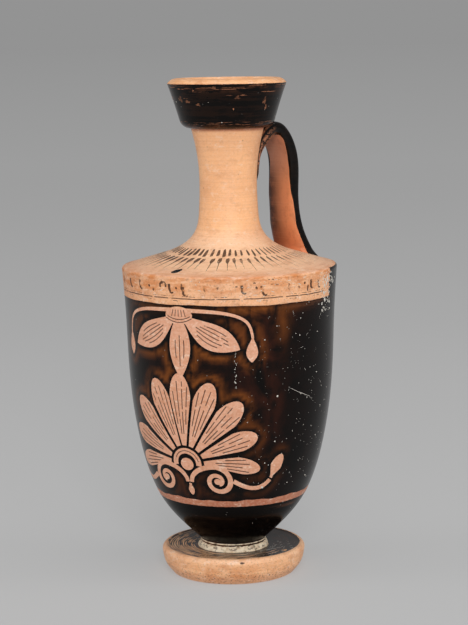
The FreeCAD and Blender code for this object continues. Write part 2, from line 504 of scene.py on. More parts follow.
def grown(shift, half, up):
    """An outline that grows up from the origin, a half width each side of its shifted middle."""
    return np.stack([shift - half, up], 1), np.stack([shift + half, up], 1)


def leaf(start, length, spread, gap=0.8, blunt=0.3, bow=0.0):
    """A broad leaf with a rounded tip, growing up from the origin, bowed to one side."""
    cap = length * (1 - blunt)
    slope = math.tan(math.radians(spread))
    low = np.linspace(start, cap, 14)
    turn = np.linspace(0, math.pi / 2, 12)[1:]
    up = np.concatenate([low, cap + (length - cap) * np.sin(turn)])
    half = np.concatenate([np.maximum(low * slope - gap / 2, 0.5), (cap * slope - gap / 2) * np.cos(turn)])
    left, right = grown(bow * (up / length) ** 2, half, up)
    return closed(left, right[:-1])


def petal(length, half_width, belly, bow=0.0):
    """A pointed petal, growing up from the origin, widest at the belly's share of its length."""
    share = np.linspace(0, 1, 34)
    half = half_width * np.sin(math.pi * share ** (math.log(0.5) / math.log(belly))) ** 0.9 + 0.15
    return closed(*grown(bow * share ** 2, half, share * length))


def picture_dashes(path, width):
    """A thin painted line along a path, drawn in a few strokes with small gaps."""
    start = 0
    while start < len(path) - 2:
        end = min(start + int(random.integers(7, 18)), len(path))
        picture_stroke(path[start:end, 0], path[start:end, 1], width, 0.15)
        start = end + int(random.integers(0, 2))


def spiral(centre, outer, inner, turns, width, start, hand):
    """The middle line of a volute and its widths, wound inwards."""
    turn = np.linspace(0, 1, int(40 * turns))
    reach = outer + (inner - outer) * turn ** 0.8
    angle = np.radians(start) + hand * turn * turns * 2 * math.pi
    across = centre[0] + reach * np.cos(angle)
    up = centre[1] + reach * np.sin(angle)
    return across, up, width * (1 - 0.35 * turn)


def ellipse(centre, half_width, half_height, count=28):
    """The outline of an ellipse."""
    turn = np.linspace(0, 2 * math.pi, count, endpoint=False)
    return np.stack([half_width * np.cos(turn), half_height * np.sin(turn)], 1) + np.array(centre)


def paint_zones():
    """The black of foot, stem, body, mouth and bore, and the plaster over the bead."""
    add_band(along_foot_radius(foot_black_radius), along_height(stem_black_top), GLOSS, 0.14, 0.07, seed=1)
    bead_low = along_foot_radius(stem_radius + bead_stand + 0.3)
    add_band(bead_low, along_foot_height(stem_base + bead_height + 0.1), PLASTER, 0.22, 0.14, seed=15)
    angles = np.linspace(-180, 180, 481)
    low = body_black_low + wave(angles, 0.36, (90, 47, 29, 13), seed=3) + wave(angles, 0.04, (9, 5), seed=4)
    high = body_black_high + wave(angles, 0.26, (110, 53, 27), seed=5) + wave(angles, 0.05, (9, 4), seed=6)
    add_shape(closed(domain(angles, along_height(low)), domain(angles, along_height(high))), GLOSS)
    steps = np.linspace(0, 1, 41)
    alongs = along_height(np.linspace(*band_end_heights, 41))
    for side in (1, -1):
        ragged = band_end_angle + wave(steps * 360, 1.6, (90, 47, 23, 12), seed=7 + side)
        back = domain(np.full(41, side * 180.0), alongs)
        add_shape(closed(domain(side * ragged, alongs), back), GLOSS)
    mouth_low, mouth_high = along_height(mouth_base[1] + 0.05), along_height(mouth_edge[1] + 0.05)
    add_band(mouth_low, mouth_high, GLOSS, 0.0, 0.06, seed=11)
    add_band(row_along[lip_row] + 1.6, row_along[lip_row] + 26.0, GLOSS, 0.15, 0.6, seed=13)


def arc_points(reach, limit, count, centre=(0.0, 0.0)):
    """Points of an arc over a centre, out to an angle each way from the top."""
    turn = np.radians(np.linspace(-limit, limit, count))
    return np.stack([centre[0] + reach * np.sin(turn), centre[1] + reach * np.cos(turn)], 1)


def paint_palmette():
    """A fan of nine leaves round a heart with a ring."""
    slope = math.tan(math.radians(palmette_step / 2))
    for i in range(-4, 5):
        angle = i * palmette_step + random.uniform(-0.8, 0.8)
        length = palmette_leaf - 0.42 * i * i + random.uniform(-0.5, 0.5)
        bow = 0.22 * i * abs(i)
        outline = leaf(6.6, length, palmette_step / 2, gap=0.9, blunt=0.26, bow=bow)
        picture_shape(turned(outline, angle, palmette_heart))
        for line in (-0.66, -0.22, 0.22, 0.66):
            reach = np.arange(9.0 + 8 * abs(line), length - 2.0 - 3.6 * abs(line), 0.9)
            across = bow * (reach / length) ** 2 + line * reach * slope * 0.86
            picture_dashes(turned(np.stack([across, reach], 1), angle, palmette_heart), 0.35)
    ring = closed(arc_points(5.6, 100, 40, palmette_heart), arc_points(3.6, 100, 40, palmette_heart))
    picture_shape(ring)
    picture_shape(ellipse((0, palmette_heart[1] - 0.3), 2.5, 2.3))
    picture_stroke(*arc_points(4.6, 80, 20, palmette_heart).T, 0.3, 0.2)


def paint_volutes():
    """On each side a scroll, its joint to the heart and a tendril with a bud; a small bud below."""
    reach, level = volute_centre
    scroll = 5.6
    join = np.linspace(0, 1, 16)
    lift = np.linspace(0, 1, 24)
    for side in (-1, 1):
        picture_band(*spiral((side * reach, level), scroll, 1.2, 1.45, 1.9, 90, -side))
        picture_shape(ellipse((side * reach, level), 1.2, 1.15))
        across = side * (reach - 9.6 * np.sin(join * math.pi / 2))
        up = level + scroll - 6.2 * (1 - np.cos(join * math.pi / 2))
        picture_band(across, up, 1.9 - 0.4 * join)
        across = side * (reach + scroll + 13.0 * lift)
        up = level + 0.2 - 3.6 * np.sin(lift * math.pi * 0.8) + 2.0 * lift ** 2
        picture_band(across, up, 1.8 - 0.5 * lift)
        bud = leaf(0.4, 10.5, 22.0, gap=0.2, blunt=0.5, bow=side * 0.8)
        picture_shape(turned(bud, side * 30, (side * (reach + scroll + 13.2), level + 0.4)))
    picture_shape(turned(leaf(0.3, 4.8, 26.0, gap=0.1, blunt=0.5), 180, (0, level - 0.8)))


def paint_lotus():
    """A hanging flower under the band: a calyx, three petals and two tendrils with buds."""
    middle, high = flower_top
    picture_shape(turned(petal(23.0, 3.9, 0.52), 180, flower_top))
    tendril = run_curve([(2.5, 100.2), (9.0, 100.0), (18.0, 99.0), (24.5, 95.6), (26.0, 90.5)], 0.8)
    for side in (-1, 1):
        lean = 180 - side * 50
        length, bow = 24.5, -side * 4.0
        picture_shape(turned(petal(length, 4.6, 0.62, bow), lean, flower_top))
        for share in (-0.66, -0.33, 0.0, 0.33, 0.66):
            reach = np.arange(8.0 + 3 * abs(share), length - 3.0 - 4 * abs(share), 0.9)
            belly = np.sin((reach / length) ** 1.45 * math.pi)
            across = bow * (reach / length) ** 2 + share * 4.2 * belly
            picture_dashes(turned(np.stack([across, reach], 1), lean, flower_top), 0.33)
        picture_band(middle + side * tendril[:, 0], tendril[:, 1], np.linspace(1.4, 0.9, len(tendril)))
        picture_shape(turned(petal(9.0, 1.9, 0.62), 180 + side * 4, (middle + side * 26.0, high - 8.2)))
    for shift in (-1.7, 0.0, 1.7):
        reach = np.arange(8.0 + abs(shift), 19.5 - 2 * abs(shift), 0.9)
        picture_dashes(turned(np.stack([shift * np.sin(reach / 7.5), reach], 1), 180, flower_top), 0.35)
    picture_shape(ellipse((middle, high - 1.1), 5.2, 3.1))
    for shift in (-2.7, -1.35, 0.0, 1.35, 2.7):
        across = middle + shift * np.linspace(0.75, 1.0, 6)
        picture_stroke(across, high + np.linspace(0.9, -1.5, 6), 0.28, 0.1)
    for half, drop in ((4.4, 2.5), (5.0, 3.5)):
        arc = np.linspace(-half, half, 16)
        picture_stroke(middle + arc, high - drop + 0.06 * arc ** 2, 0.32, 0.1)


# What is left of the painted meander: angle, height and shape of each stroke, and how faded it is
HOOK, DOT, LOOP, BAR, DASH = range(5)
meander_left = (
    (-66.0, 107.9, HOOK, 0.35),
    (-52.0, 108.2, HOOK, 0.4),
    (-38.0, 107.8, BAR, 0.5),
    (-27.0, 107.9, HOOK, 0.4),
    (-15.1, 107.9, HOOK, 0.25),
    (-4.8, 108.0, HOOK, 0.3),
    (2.3, 108.0, DOT, 0.2),
    (5.5, 106.8, DOT, 0.35),
    (12.4, 108.6, LOOP, 0.2),
    (16.9, 107.6, HOOK, 0.1),
    (20.3, 107.8, DOT, 0.3),
    (23.6, 107.9, BAR, 0.4),
    (25.0, 106.7, HOOK, 0.25),
    (36.2, 107.5, BAR, 0.55),
    (42.8, 108.2, DOT, 0.6),
    (45.0, 106.9, DOT, 0.6),
    (52.5, 108.5, DASH, 0.55),
    (55.8, 107.5, HOOK, 0.3),
    (61.8, 109.6, DASH, 0.3),
    (63.0, 107.9, DOT, 0.45),
    (66.6, 106.9, HOOK, 0.35),
    (69.0, 110.6, DASH, 0.5),
    (71.6, 110.5, DASH, 0.45),
    (74.4, 110.4, DASH, 0.5),
    (71.3, 108.8, DASH, 0.5),
    (74.0, 108.7, DASH, 0.45),
    (81.0, 107.4, BAR, 0.6),
    (87.4, 107.1, DOT, 0.45),
    (91.6, 108.3, DOT, 0.3),
    (94.0, 106.2, BAR, 0.35),
    (97.0, 107.6, HOOK, 0.4),
    (103.0, 107.4, HOOK, 0.4),
    (109.0, 107.9, BAR, 0.5),
    (-78.0, 107.8, HOOK, 0.4),
    (-90.0, 108.0, BAR, 0.5),
    (-101.0, 107.7, HOOK, 0.4),
)


# How far up, how far across and how wide each kind of stroke is, point by point
stroke_kinds = {
    HOOK: (
        (1.7, 0.9, 0.0, -0.9, -1.5, -1.75, -1.4),
        (-0.5, -0.5, -0.4, -0.3, 0.1, 0.8, 1.3),
        (0.9, 0.85, 0.75, 0.7, 0.6, 0.5, 0.3),
    ),
    BAR: (
        np.linspace(1.5, -1.3, 7),
        (0.0, 0.1, 0.0, -0.1, 0.0, 0.15, 0.2),
        (0.4, 0.55, 0.6, 0.5, 0.55, 0.4, 0.25),
    ),
    LOOP: (
        (-0.9, 0.3, 1.0, 0.9, 0.1, -0.8),
        (-1.3, -1.4, -0.6, 0.6, 1.3, 1.1),
        (0.5, 0.7, 0.8, 0.7, 0.7, 0.5),
    ),
    DASH: ((0.0, 0.05, 0.0, -0.05), (-0.6, -0.2, 0.25, 0.6), (0.3, 0.42, 0.4, 0.25)),
    DOT: ((-0.5, -0.2, 0.2, 0.5), (-0.1, 0.05, 0.0, 0.1), (0.35, 0.75, 0.7, 0.3)),
}


def paint_meander():
    """The worn strokes on the band, each a little uneven."""
    step = np.degrees(1 / shoulder_edge_radius)
    for angle, height, kind, fade in meander_left:
        up, across, widths = (np.array(part) for part in stroke_kinds[kind])
        size = random.uniform(0.82, 1.0)
        widths = widths * random.uniform(1.0, 1.35)
        across = across * size + random.uniform(-0.14, 0.14, len(across))
        add_wall_stroke(angle + across * step, height + up * size, widths, fade)


# The lines on the band: height, how wide the gaps are, how faded, and width
band_lines = ((104.2, 0.9, 0.12, 0.36), (104.95, 5.0, 0.5, 0.22), (103.4, 12.0, 0.6, 0.3))


def paint_lines():
    """The thin lines under the meander, brushed on the wheel and partly rubbed away."""
    for level, gap, fade, width in band_lines:
        start, last = band_line_end_angles
        while start < last - 4:
            end = min(start + random.uniform(4.0, 26.0) / gap ** 0.3, last)
            angles = np.arange(start, end, 0.8)
            if len(angles) > 3:
                heights = level + wave(angles, 0.10, (70, 31, 8), seed=21)
                add_wall_stroke(angles, heights, width * (0.7 + 0.3 * swell(len(angles))), fade)
            start = end + random.uniform(0.2, 2.0) * gap


def half_turn_of(angle):
    """The angle brought into the range from -180 to 180."""
    return (angle + 180) % 360 - 180


def paint_tongues():
    """Two staggered rows of tongues on the shoulder."""
    for k in range(tongue_count):
        angle = half_turn_of(k * 360 / tongue_count + random.uniform(-0.7, 0.7))
        if abs(angle) > tongue_end_angles[0]:
            continue
        lean = random.uniform(-0.9, 0.9)
        radii = np.linspace(random.uniform(20.6, 21.6), random.uniform(16.9, 17.6), 9)
        widths = np.linspace(1.5, 0.95, 9) * swell(9, 0.6, 2.6) ** 0.6 * random.uniform(0.8, 1.2)
        turn = angle + lean * np.linspace(-0.5, 0.5, 9)
        add_stroke(turn, along_radius(radii), widths, random.uniform(-0.05, 0.22))
        angle = half_turn_of(angle + 180 / tongue_count + random.uniform(-0.7, 0.7))
        if abs(angle) > tongue_end_angles[1]:
            continue
        strong = 1 - smooth_steps(angle, -4, 24)
        radii = np.linspace(random.uniform(22.3, 23.1), random.uniform(31.0, 33.4), 18)
        head = np.exp(-np.maximum(radii - 24.6, 0) ** 2 / 2.4)
        middle = np.exp(-((radii - 27.0) / 3.0) ** 2) * strong
        widths = (1.5 * head + 0.27 + 0.5 * middle) * swell(18, 0.5, 2.9) ** 0.5 * random.uniform(0.75, 1.15)
        turn = angle + lean * np.linspace(-0.4, 0.4, 18)
        add_stroke(turn, along_radius(radii), widths, random.uniform(0.0, 0.26) + 0.1 * (1 - strong))


def blob(count, turns, sizes):
    """Angles round a spot and its uneven reach there."""
    turn = np.linspace(0, 2 * math.pi, count, endpoint=False)
    reach = 1 + sum(size * np.sin(n * turn + phase) for size, (n, phase) in zip(sizes, turns))
    return turn, reach


def paint_foot_wear():
    """Turning lines where the black of the foot's top is worn off, and light scratches on it."""
    for _ in range(270):
        radius = 14.4 + 0.78 * random.integers(0, 13) + random.normal(0, 0.1)
        start = random.normal(-18, 42)
        reach = random.uniform(3, 26)
        angles = np.linspace(start, start + reach, int(reach / 2.4) + 3)
        if len(angles) < 4 or angles[0] < -178 or angles[-1] > 178:
            continue
        radii = radius + wave(angles, 0.06, (90, 40), seed=4)
        widths = random.uniform(0.12, 0.40) * swell(len(angles)) + 0.03
        add_stroke(angles, along_foot_radius(radii), widths, 0, CLAY)
    for _ in range(60):
        radius = random.uniform(14.5, 23.5)
        start = random.uniform(60, 150)
        angles = np.linspace(start, start + random.uniform(-6, 6), 5)
        radii = radius + np.linspace(0, random.uniform(-1.2, 1.2), 5)
        add_stroke(angles, along_foot_radius(radii), (0.03, 0.12, 0.16, 0.1, 0.03), 0, CHALK)
    radii = 14.2 + 5.6 * np.linspace(0, 1, 16) ** 1.3
    add_stroke(np.linspace(92, 122, 16), along_foot_radius(radii), 0.26 * swell(16, 0.5, 3.0), 0, CHALK)
    turn, reach = blob(14, [(3, 1)], [0.25])
    radii = 21.7 + 0.9 * reach * np.sin(turn)
    add_shape(domain(106.4 + 2.4 * reach * np.cos(turn), along_foot_radius(radii)), CLAY)
    spot = row_along[rim_row] - 2.0
    add_shape(domain(55.5 + 1.9 * reach * np.cos(turn), spot + 0.4 * np.sin(turn)), INK, -0.4)


# Rubbed marks on the mouth: angle, height, half width in degrees, half height, and how rubbed they are
mouth_marks = (
    (-8, 171.0, 3.4, 0.9, 0.5),
    (3, 170.2, 3.6, 0.5, 0.6),
    (17, 169.2, 2.6, 0.45, 0.8),
    (14, 174.1, 0.9, 0.3, 2.0),
    (36, 175.0, 3.0, 0.4, 0.9),
    (56, 167.6, 0.7, 0.3, 2.0),
    (66, 172.4, 3.0, 0.3, 0.7),
    (92, 170.2, 2.2, 1.2, 0.7),
    (96, 168.0, 1.4, 0.8, 0.9),
    (60, 171.6, 2.5, 0.6, 0.35),
    (-33, 171.0, 2.4, 0.9, 0.8),
    (152, 170.0, 3.0, 0.9, 0.8),
)


def paint_mouth_wear():
    """Rubbed spots on the black of the mouth: lines near its edge and marks lower down."""
    for _ in range(46):
        height = 176.1 - random.exponential(1.7)
        if height < 168:
            continue
        start = random.uniform(-150, 150)
        angles = np.arange(start, start + random.uniform(6, 24), 2.4)
        if len(angles) < 4:
            continue
        heights = height + wave(angles, 0.07, (23, 9), seed=int(height * 70))
        widths = random.uniform(0.08, 0.34) * swell(len(angles)) + 0.03
        add_wall_stroke(angles, heights, widths, random.uniform(0.3, 1.0), GLOSS)
    for height, size, seed in ((162.9, 0.3, 1), (162.2, 0.22, 2), (161.2, 0.34, 3)):
        start = -150.0
        while start < 150:
            angles = np.arange(start, start + random.uniform(9, 34), 2.4)
            heights = height + wave(angles, 0.22, (73, 31, 13), seed=seed)
            widths = size * random.uniform(0.3, 1) * swell(len(angles)) + 0.03
            add_wall_stroke(angles, heights, widths, random.uniform(0.4, 1.0), GLOSS)
            start = angles[-1] + random.uniform(1, 14)
    for angle, height, wide, tall, fade in mouth_marks:
        turn, reach = blob(16, [(3, angle), (5, height)], [0.3, 0.2])
        heights = height + tall * reach * np.sin(turn)
        add_shape(domain(angle + wide * reach * np.cos(turn), along_height(heights)), GLOSS, fade)


def paint_fine_strokes(count, across, drift, heights, slope, widths, shape):
    """Short pale strokes. Each range holds a low and a high end; across is a function of the count."""
    reach = np.linspace(0, 1, 5)
    for n in range(count):
        angle = random.uniform(*across(n))
        height = random.uniform(*heights)
        angles = angle + random.uniform(-drift, drift) * reach
        levels = height + random.uniform(-slope, slope) * reach
        width = random.uniform(*widths) if widths else 1.0
        add_wall_stroke(angles, levels, width * np.array(shape), 0, CHALK)


def paint_scratches():
    """A curved scratch on the right of the body, fine ones round it, and pale scrapes on the band."""
    share = np.linspace(0, 1, 26)
    height = 72.6 - 5.6 * share ** 0.8 - 1.4 * np.maximum(share - 0.8, 0) * 5
    add_wall_stroke(82 + 20 * share, height, 0.12 * swell(26, 0.25, 3.0), 0, CHALK)
    fine = (0.02, 0.05, 0.07, 0.05, 0.02)
    paint_fine_strokes(10, lambda n: (60, 114), 3, (45, 101), 2.2, None, fine)
    broad = (0.3, 0.9, 1.0, 0.8, 0.2)
    side = ((-60, 60), (56, 114), (56, 114))
    paint_fine_strokes(64, lambda n: side[n % 3], 2.6, (102.8, 111.2), 0.7, (0.08, 0.24), broad)


def paint_dark_mark():
    """A small dark mark on the clay of the shoulder, painted black."""
    across = np.array([-2.9, -1.9, 0.0, 1.8, 3.0, 2.1, 0.6, -1.4])
    radii = np.array([34.6, 33.0, 32.2, 31.7, 32.7, 34.6, 35.4, 35.6])
    add_shape(domain(16.5 + across, along_radius(radii)), GLOSS)


for paint_part in (
    paint_zones,
    paint_palmette,
    paint_volutes,
    paint_lotus,
    paint_meander,
    paint_lines,
    paint_tongues,
    paint_dark_mark,
    paint_foot_wear,
    paint_mouth_wear,
    paint_scratches,
):
    paint_part()


def inside_outline(outline, places):
    """Which places lie inside a closed outline."""
    found = np.zeros(len(places), bool)
    ahead = np.roll(outline, -1, axis=0)
    for (ax, ay), (bx, by) in zip(outline, ahead):
        crosses = (ay > places[:, 1]) != (by > places[:, 1])
        if not crosses.any():
            continue
        at_height = ax + (places[crosses, 1] - ay) * (bx - ax) / (by - ay)
        found[crosses] ^= places[crosses, 0] < at_height
    return found


def painted_edges():
    """The edges of all painted outlines, but for those along the seam."""
    edges = []
    for shape in shapes:
        outline = shape["outline"]
        for start, end in zip(outline, np.roll(outline, -1, axis=0)):
            along_seam = abs(abs(start[0]) - SEAM) < 1e-6 and abs(abs(end[0]) - SEAM) < 1e-6
            if np.linalg.norm(start - end) >= 1e-6 and not along_seam:
                edges.append((start, end))
    return edges


def mark_cells(edges, width):
    """Which cells of the pattern a painted edge passes through or very near."""
    marked = np.zeros((len(rows) - 1, COLUMNS), bool)
    for start, end in edges:
        pieces = max(int(np.linalg.norm(start - end) / 0.05), 1)
        places = start + (end - start) * np.linspace(0, 1, pieces + 1)[:, None]
        for shift in ((-0.02, -0.02), (0.02, 0.02), (-0.02, 0.02), (0.02, -0.02)):
            across, along = (places + shift).T
            column = np.clip(((across + SEAM) / width).astype(int), 0, COLUMNS - 1)
            row = np.clip(np.searchsorted(row_along, along, side="right") - 1, 0, len(rows) - 2)
            marked[row, column] = True
    return marked


def cut_cells(columns, marked, painted):
    """The corners and the middle of each face that the marked cells are cut into."""
    edges, seeds, lookup = [], [], {}

    def seed_of(across, along):
        """The number of a point that the cut starts from."""
        key = (round(across, 4), round(along, 4))
        if key not in lookup:
            lookup[key] = len(seeds)
            seeds.append(Vector((across, along)))
        return lookup[key]

    for i, j in zip(*np.nonzero(marked)):
        corner = [
            seed_of(columns[j], row_along[i]),
            seed_of(columns[j + 1], row_along[i]),
            seed_of(columns[j + 1], row_along[i + 1]),
            seed_of(columns[j], row_along[i + 1]),
        ]
        edges += [(corner[n - 1], corner[n]) for n in range(4)]
    for a, b in painted:
        start, end = seed_of(*a), seed_of(*b)
        if start != end:
            edges.append((start, end))
    cut_points, _, cut_faces, *_ = delaunay_2d_cdt(seeds, edges, [], 0, 1e-5)
    cut_points = np.array([p[:] for p in cut_points])
    for face in cut_faces:
        centre = cut_points[face].mean(0)
        column = int((centre[0] + SEAM) / (columns[1] - columns[0]))
        row = int(np.searchsorted(row_along, centre[1], side="right") - 1)
        if 0 <= column < COLUMNS and 0 <= row < len(rows) - 1 and marked[row, column]:
            yield cut_points[face], centre


def paint_at(centres):
    """The paint and the fade at some places: those of the last shape that holds them."""
    paint = np.full(len(centres), CLAY)
    fades = np.zeros(len(centres))
    for shape in shapes:
        outline = shape["outline"]
        low, high = outline.min(0), outline.max(0)
        near = np.nonzero(((centres >= low) & (centres <= high)).all(1))[0]
        hit = near[inside_outline(outline, centres[near])]
        paint[hit] = shape["paint"]
        fades[hit] = shape["fade"]
    return paint, fades


def build_pattern():
    """The flat pattern cut along the painted outlines: points, faces and each face's paint."""
    columns = np.linspace(-SEAM, SEAM, COLUMNS + 1)
    painted = painted_edges()
    marked = mark_cells(painted, columns[1] - columns[0])
    numbers, points, faces, centres = {}, [], [], []

    def number_of(across, along):
        """The number of a point, the same for places that fall together on the pot."""
        inner = across - 2 * SEAM if across > SEAM - 1e-5 else across
        at_axis = along < row_along[0] + 1e-6 or along > row_along[-1] - 1e-6
        key = (0.0 if at_axis else round(inner, 4), round(along, 4))
        if key not in numbers:
            numbers[key] = len(points)
            points.append((inner, along))
        return numbers[key]

    def add_face(corners, centre):
        """A face, without the corners that fall together."""
        corner = [number_of(*place) for place in corners]
        kept = [v for n, v in enumerate(corner) if v != corner[n - 1]]
        if len(kept) > 2:
            faces.append(kept)
            centres.append(centre)

    for i, j in zip(*np.nonzero(~marked)):
        low, high = row_along[i], row_along[i + 1]
        left, right = columns[j], columns[j + 1]
        corners = ((left, low), (right, low), (right, high), (left, high))
        add_face(corners, ((left + right) / 2, (low + high) / 2))
    for corners, centre in cut_cells(columns, marked, painted):
        add_face(corners, centre)
    paint, fades = paint_at(np.array(centres))
    return np.array(points), faces, paint, fades


pattern, pattern_faces, pattern_paint, pattern_fades = build_pattern()


def along_to_section(along):
    """Radius and height, and the outward normal, at distances along the outline."""
    section = np.stack([np.interp(along, row_along, rows[:, n]) for n in (0, 1)], 1)
    normal = np.stack([np.interp(along, row_along, row_normals[:, n]) for n in (0, 1)], 1)
    return section, normal / np.linalg.norm(normal, axis=1)[:, None]


def round_axis(angles, radii, heights):
    """Places in space from angles round the pot in radians, radii and heights."""
    return np.stack([radii * np.sin(angles), -radii * np.cos(angles), heights], 1)


def make_object(name, places, faces, parts=None, normals=None, values=None, face_values=None):
    """A smooth mesh from places in millimetres, with the measures that its materials read."""
    mesh = bpy.data.meshes.new(name)
    mesh.from_pydata((np.array(places) * METRES).tolist(), [], [list(face) for face in faces])
    mesh.update()
    if parts is not None:
        mesh.polygons.foreach_set("material_index", np.array(parts, np.int32))
    mesh.polygons.foreach_set("use_smooth", np.ones(len(faces), bool))
    for kind, group in (("POINT", values), ("FACE", face_values)):
        for label, numbers in (group or {}).items():
            layer = mesh.attributes.new(label, "FLOAT", kind)
            layer.data.foreach_set("value", np.array(numbers, np.float32))
    if normals is not None:
        mesh.normals_split_custom_set_from_vertices(np.array(normals).tolist())
    body = bpy.data.objects.new(name, mesh)
    bpy.context.scene.collection.objects.link(body)
    return body


def steps_from(starts, span, spots):
    """The shortest step from each piece of a line, given by its start and span, to each spot."""
    offset = spots[:, None] - starts
    share = np.clip((offset * span).sum(2) / ((span ** 2).sum(1) + 1e-12), 0, 1)
    return offset - share[:, :, None] * span


def distance_to_reserved(points, reach=9.0):
    """How far each pattern point is from the nearest reserved shape of the picture."""
    best = np.full(len(points), reach)
    for shape in shapes:
        if not shape["guard"]:
            continue
        outline = shape["outline"]
        low, high = outline.min(0) - reach, outline.max(0) + reach
        near = np.nonzero(((points >= low) & (points <= high)).all(1))[0]
        span = np.roll(outline, -1, axis=0) - outline
        for start in range(0, len(near), 4000):
            some = near[start:start + 4000]
            gap = np.linalg.norm(steps_from(outline, span, points[some]), axis=2).min(1)
            best[some] = np.minimum(best[some], gap)
    return best


def build_flask():
    """The turned form with its paint, and how worn, pale or stained it is from place to place, with painted
    highlight on the foot's edge and painted shade on the neck, the shoulder's sides and the foot's edge.
    """
    angles = pattern[:, 0] / REFERENCE_RADIUS
    along = pattern[:, 1]
    section, normal = along_to_section(along)
    radii, heights = section.T
    degrees = np.degrees(angles)
    on_wall = (along > row_along[stem_row]) & (along < row_along[shoulder_row])
    on_foot = along < row_along[stem_row]
    on_mouth = (along > row_along[waist_row]) & (heights > mouth_base[1] - 0.5)
    on_foot_side = along < row_along[rim_row] + 0.3
    on_neck = (heights > 117) & (heights < mouth_base[1])
    on_band = on_wall & (heights > 101)
    above = ~on_wall & ~on_foot

    def spot(angle, height, wide, tall):
        """A soft spot: 1 at its middle, falling away over the given degrees and millimetres."""
        return np.exp(-(half_turn_of(degrees - angle) / wide) ** 2 - ((heights - height) / tall) ** 2)

    def over(low, high):
        """0 under the first height and 1 over the second; the other way when it is the lower."""
        return smooth_steps(heights, low, high)

    def level(height, tall):
        """A soft line all round at a height."""
        return np.exp(-((heights - height) / tall) ** 2)

    gap = distance_to_reserved(pattern)
    contour = smooth_steps(gap, 1.1, 2.0)
    picture = over(31, 34) * (1 - over(99, 102))

    halo = smooth_steps(gap, 0.9, 1.9) * (1 - smooth_steps(gap, 2.0, 4.6)) * picture
    halo *= 0.12 + 0.8 * spot(34, 76, 46, 22)
    halo += 0.9 * spot(62, 100.4, 24, 1.2) + 0.5 * spot(10, 100.6, 24, 0.9) + 0.5 * spot(78, 95, 4, 6)
    amber = 0.5 * contour * (1 - smooth_steps(gap, 2.6, 6.5)) * picture * spot(34, 66, 44, 60)
    amber += contour * (0.75 * spot(62, 88, 15, 15) + 0.5 * spot(72, 66, 7, 13) + 0.05 * picture)
    amber += 0.4 * spot(64, 99.2, 24, 3)

    worn = on_mouth * (0.04 + 0.4 * over(162.6, 161.2) + 0.2 * over(172.5, 175))
    worn += on_foot * (0.15 + 0.6 * spot(-10, 9, 60, 20))
    worn += on_wall * (0.4 * spot(100, 27.6, 16, 0.4) + 0.06 * spot(40, 24.2, 300, 0.4))
    worn += 0.35 * on_wall * spot(100, 101.0, 20, 1.2)
    flecks = 0.15 + 0.85 * spot(82, 74, 32, 40) * on_wall + 0.8 * spot(110, 108, 14, 8)
    flecks += 0.35 * on_mouth + 0.7 * on_foot

    pink = on_wall * between(0.25, 1.0, over(102, 100)) + 0.8 * over(126, 118) * above
    pale = over(127, 119) * (heights > shoulder_edge_height + 0.2)
    # Painted highlight: the foot's edge is paler all round, most along its upper rim.
    pale = pale * (0.55 + 0.45 * smooth_steps(radii, 36, 30)) + on_foot_side * (0.1 + 0.7 * over(7.2, 9.0))
    # The dull measure darkens the clay: duller clay on the reserved line, in the picture and on the mouth,
    # and painted shade where marked below.
    dull_and_shade = on_wall * (1.0 * (heights < 33) + 0.22 * picture) + 0.8 * on_mouth * (heights < 175.9)
    # Painted shade: the foot's edge is darker towards its bottom, where it turns down.
    dull_and_shade += on_foot_side * (0.06 + 0.2 * over(4.5, 1.5))
    dull_and_shade += 0.16 * on_wall * spot(-16, 105, 22, 9) + 0.06 * on_band
    # Painted shade: the neck is darker near its top, under the mouth, and round 122 degrees on its right.
    dull_and_shade += on_neck * (0.14 * over(143, 157) + 0.12 * spot(122, 140, 30, 40))
    # Painted shade: the shoulder is darker at its left and right sides as the camera sees them, at -25 and
    # 125 degrees.
    dull_and_shade += 0.08 * above * (spot(-25, 112, 24, 6) + spot(125, 112, 24, 6))
    stain = 0.95 * level(111.1, 0.9) + 0.6 * level(102.3, 0.5) + 0.75 * level(108.0, 2.4)
    stain += 0.3 * on_mouth * (heights > 176) + 0.5 * on_wall * spot(-20, 107, 26, 5)
    stain += on_foot_side * (0.2 + 0.5 * spot(49, 4, 30, 3))
    pits = 0.12 + (along < row_along[rim_row]) * (0.25 + 0.75 * over(6.0, 2.5)) + 0.3 * on_band
    measures = {
        "amber": amber * on_wall + 0.25 * on_foot + 0.3 * on_mouth * over(163, 161),
        "halo": halo * on_wall,
        "worn": worn,
        "flecks": flecks,
        "pink": pink,
        "pale": pale,
        "dull_and_shade": dull_and_shade,
        "stain": stain,
        "pits": pits,
        "sheen": 0.25 + 0.75 * (over(24, 36) + on_foot),
        "smooth": over(119, 126) * (heights < mouth_base[1]),
    }
    values = {name: np.clip(measure, 0, 1.3 if name == "amber" else 1) for name, measure in measures.items()}
    values["along"] = along
    places = round_axis(angles, radii, heights)
    normals = round_axis(angles, *normal.T)
    fades = {"fade": pattern_fades}
    return make_object("flask", places, pattern_faces, pattern_paint, normals, values, fades)


def strap_line():
    """The strap's middle line, from inside the neck's wall to inside the shoulder's."""
    start_radius = (bore_radius + neck_waist_radius) / 2
    rise_radius = neck_top_radius - strap_rise_inset
    back_radius = shoulder_edge_radius - strap_back_inset
    turn_radius = back_radius - strap_turn_inset
    span = turn_radius - rise_radius
    top = point(rise_radius + span * strap_top_share, mouth_base[1] - strap_top_drop)
    flare_radius = back_radius + strap_flare_reach
    foot_radius = shoulder_edge_radius - strap_foot_inset
    return run_curve([
        point(start_radius, mouth_base[1] - strap_start_drop),
        point(rise_radius, top[1] - span * strap_rise_share),
        top,
        point(turn_radius, top[1] - span * strap_turn_share),
        point(back_radius, mouth_base[1] - strap_back_drop),
        point(flare_radius, shoulder_height(flare_radius) + strap_flare_rise),
        point(foot_radius, shoulder_height(foot_radius) - shoulder_wall / 2),
    ], 0.6)


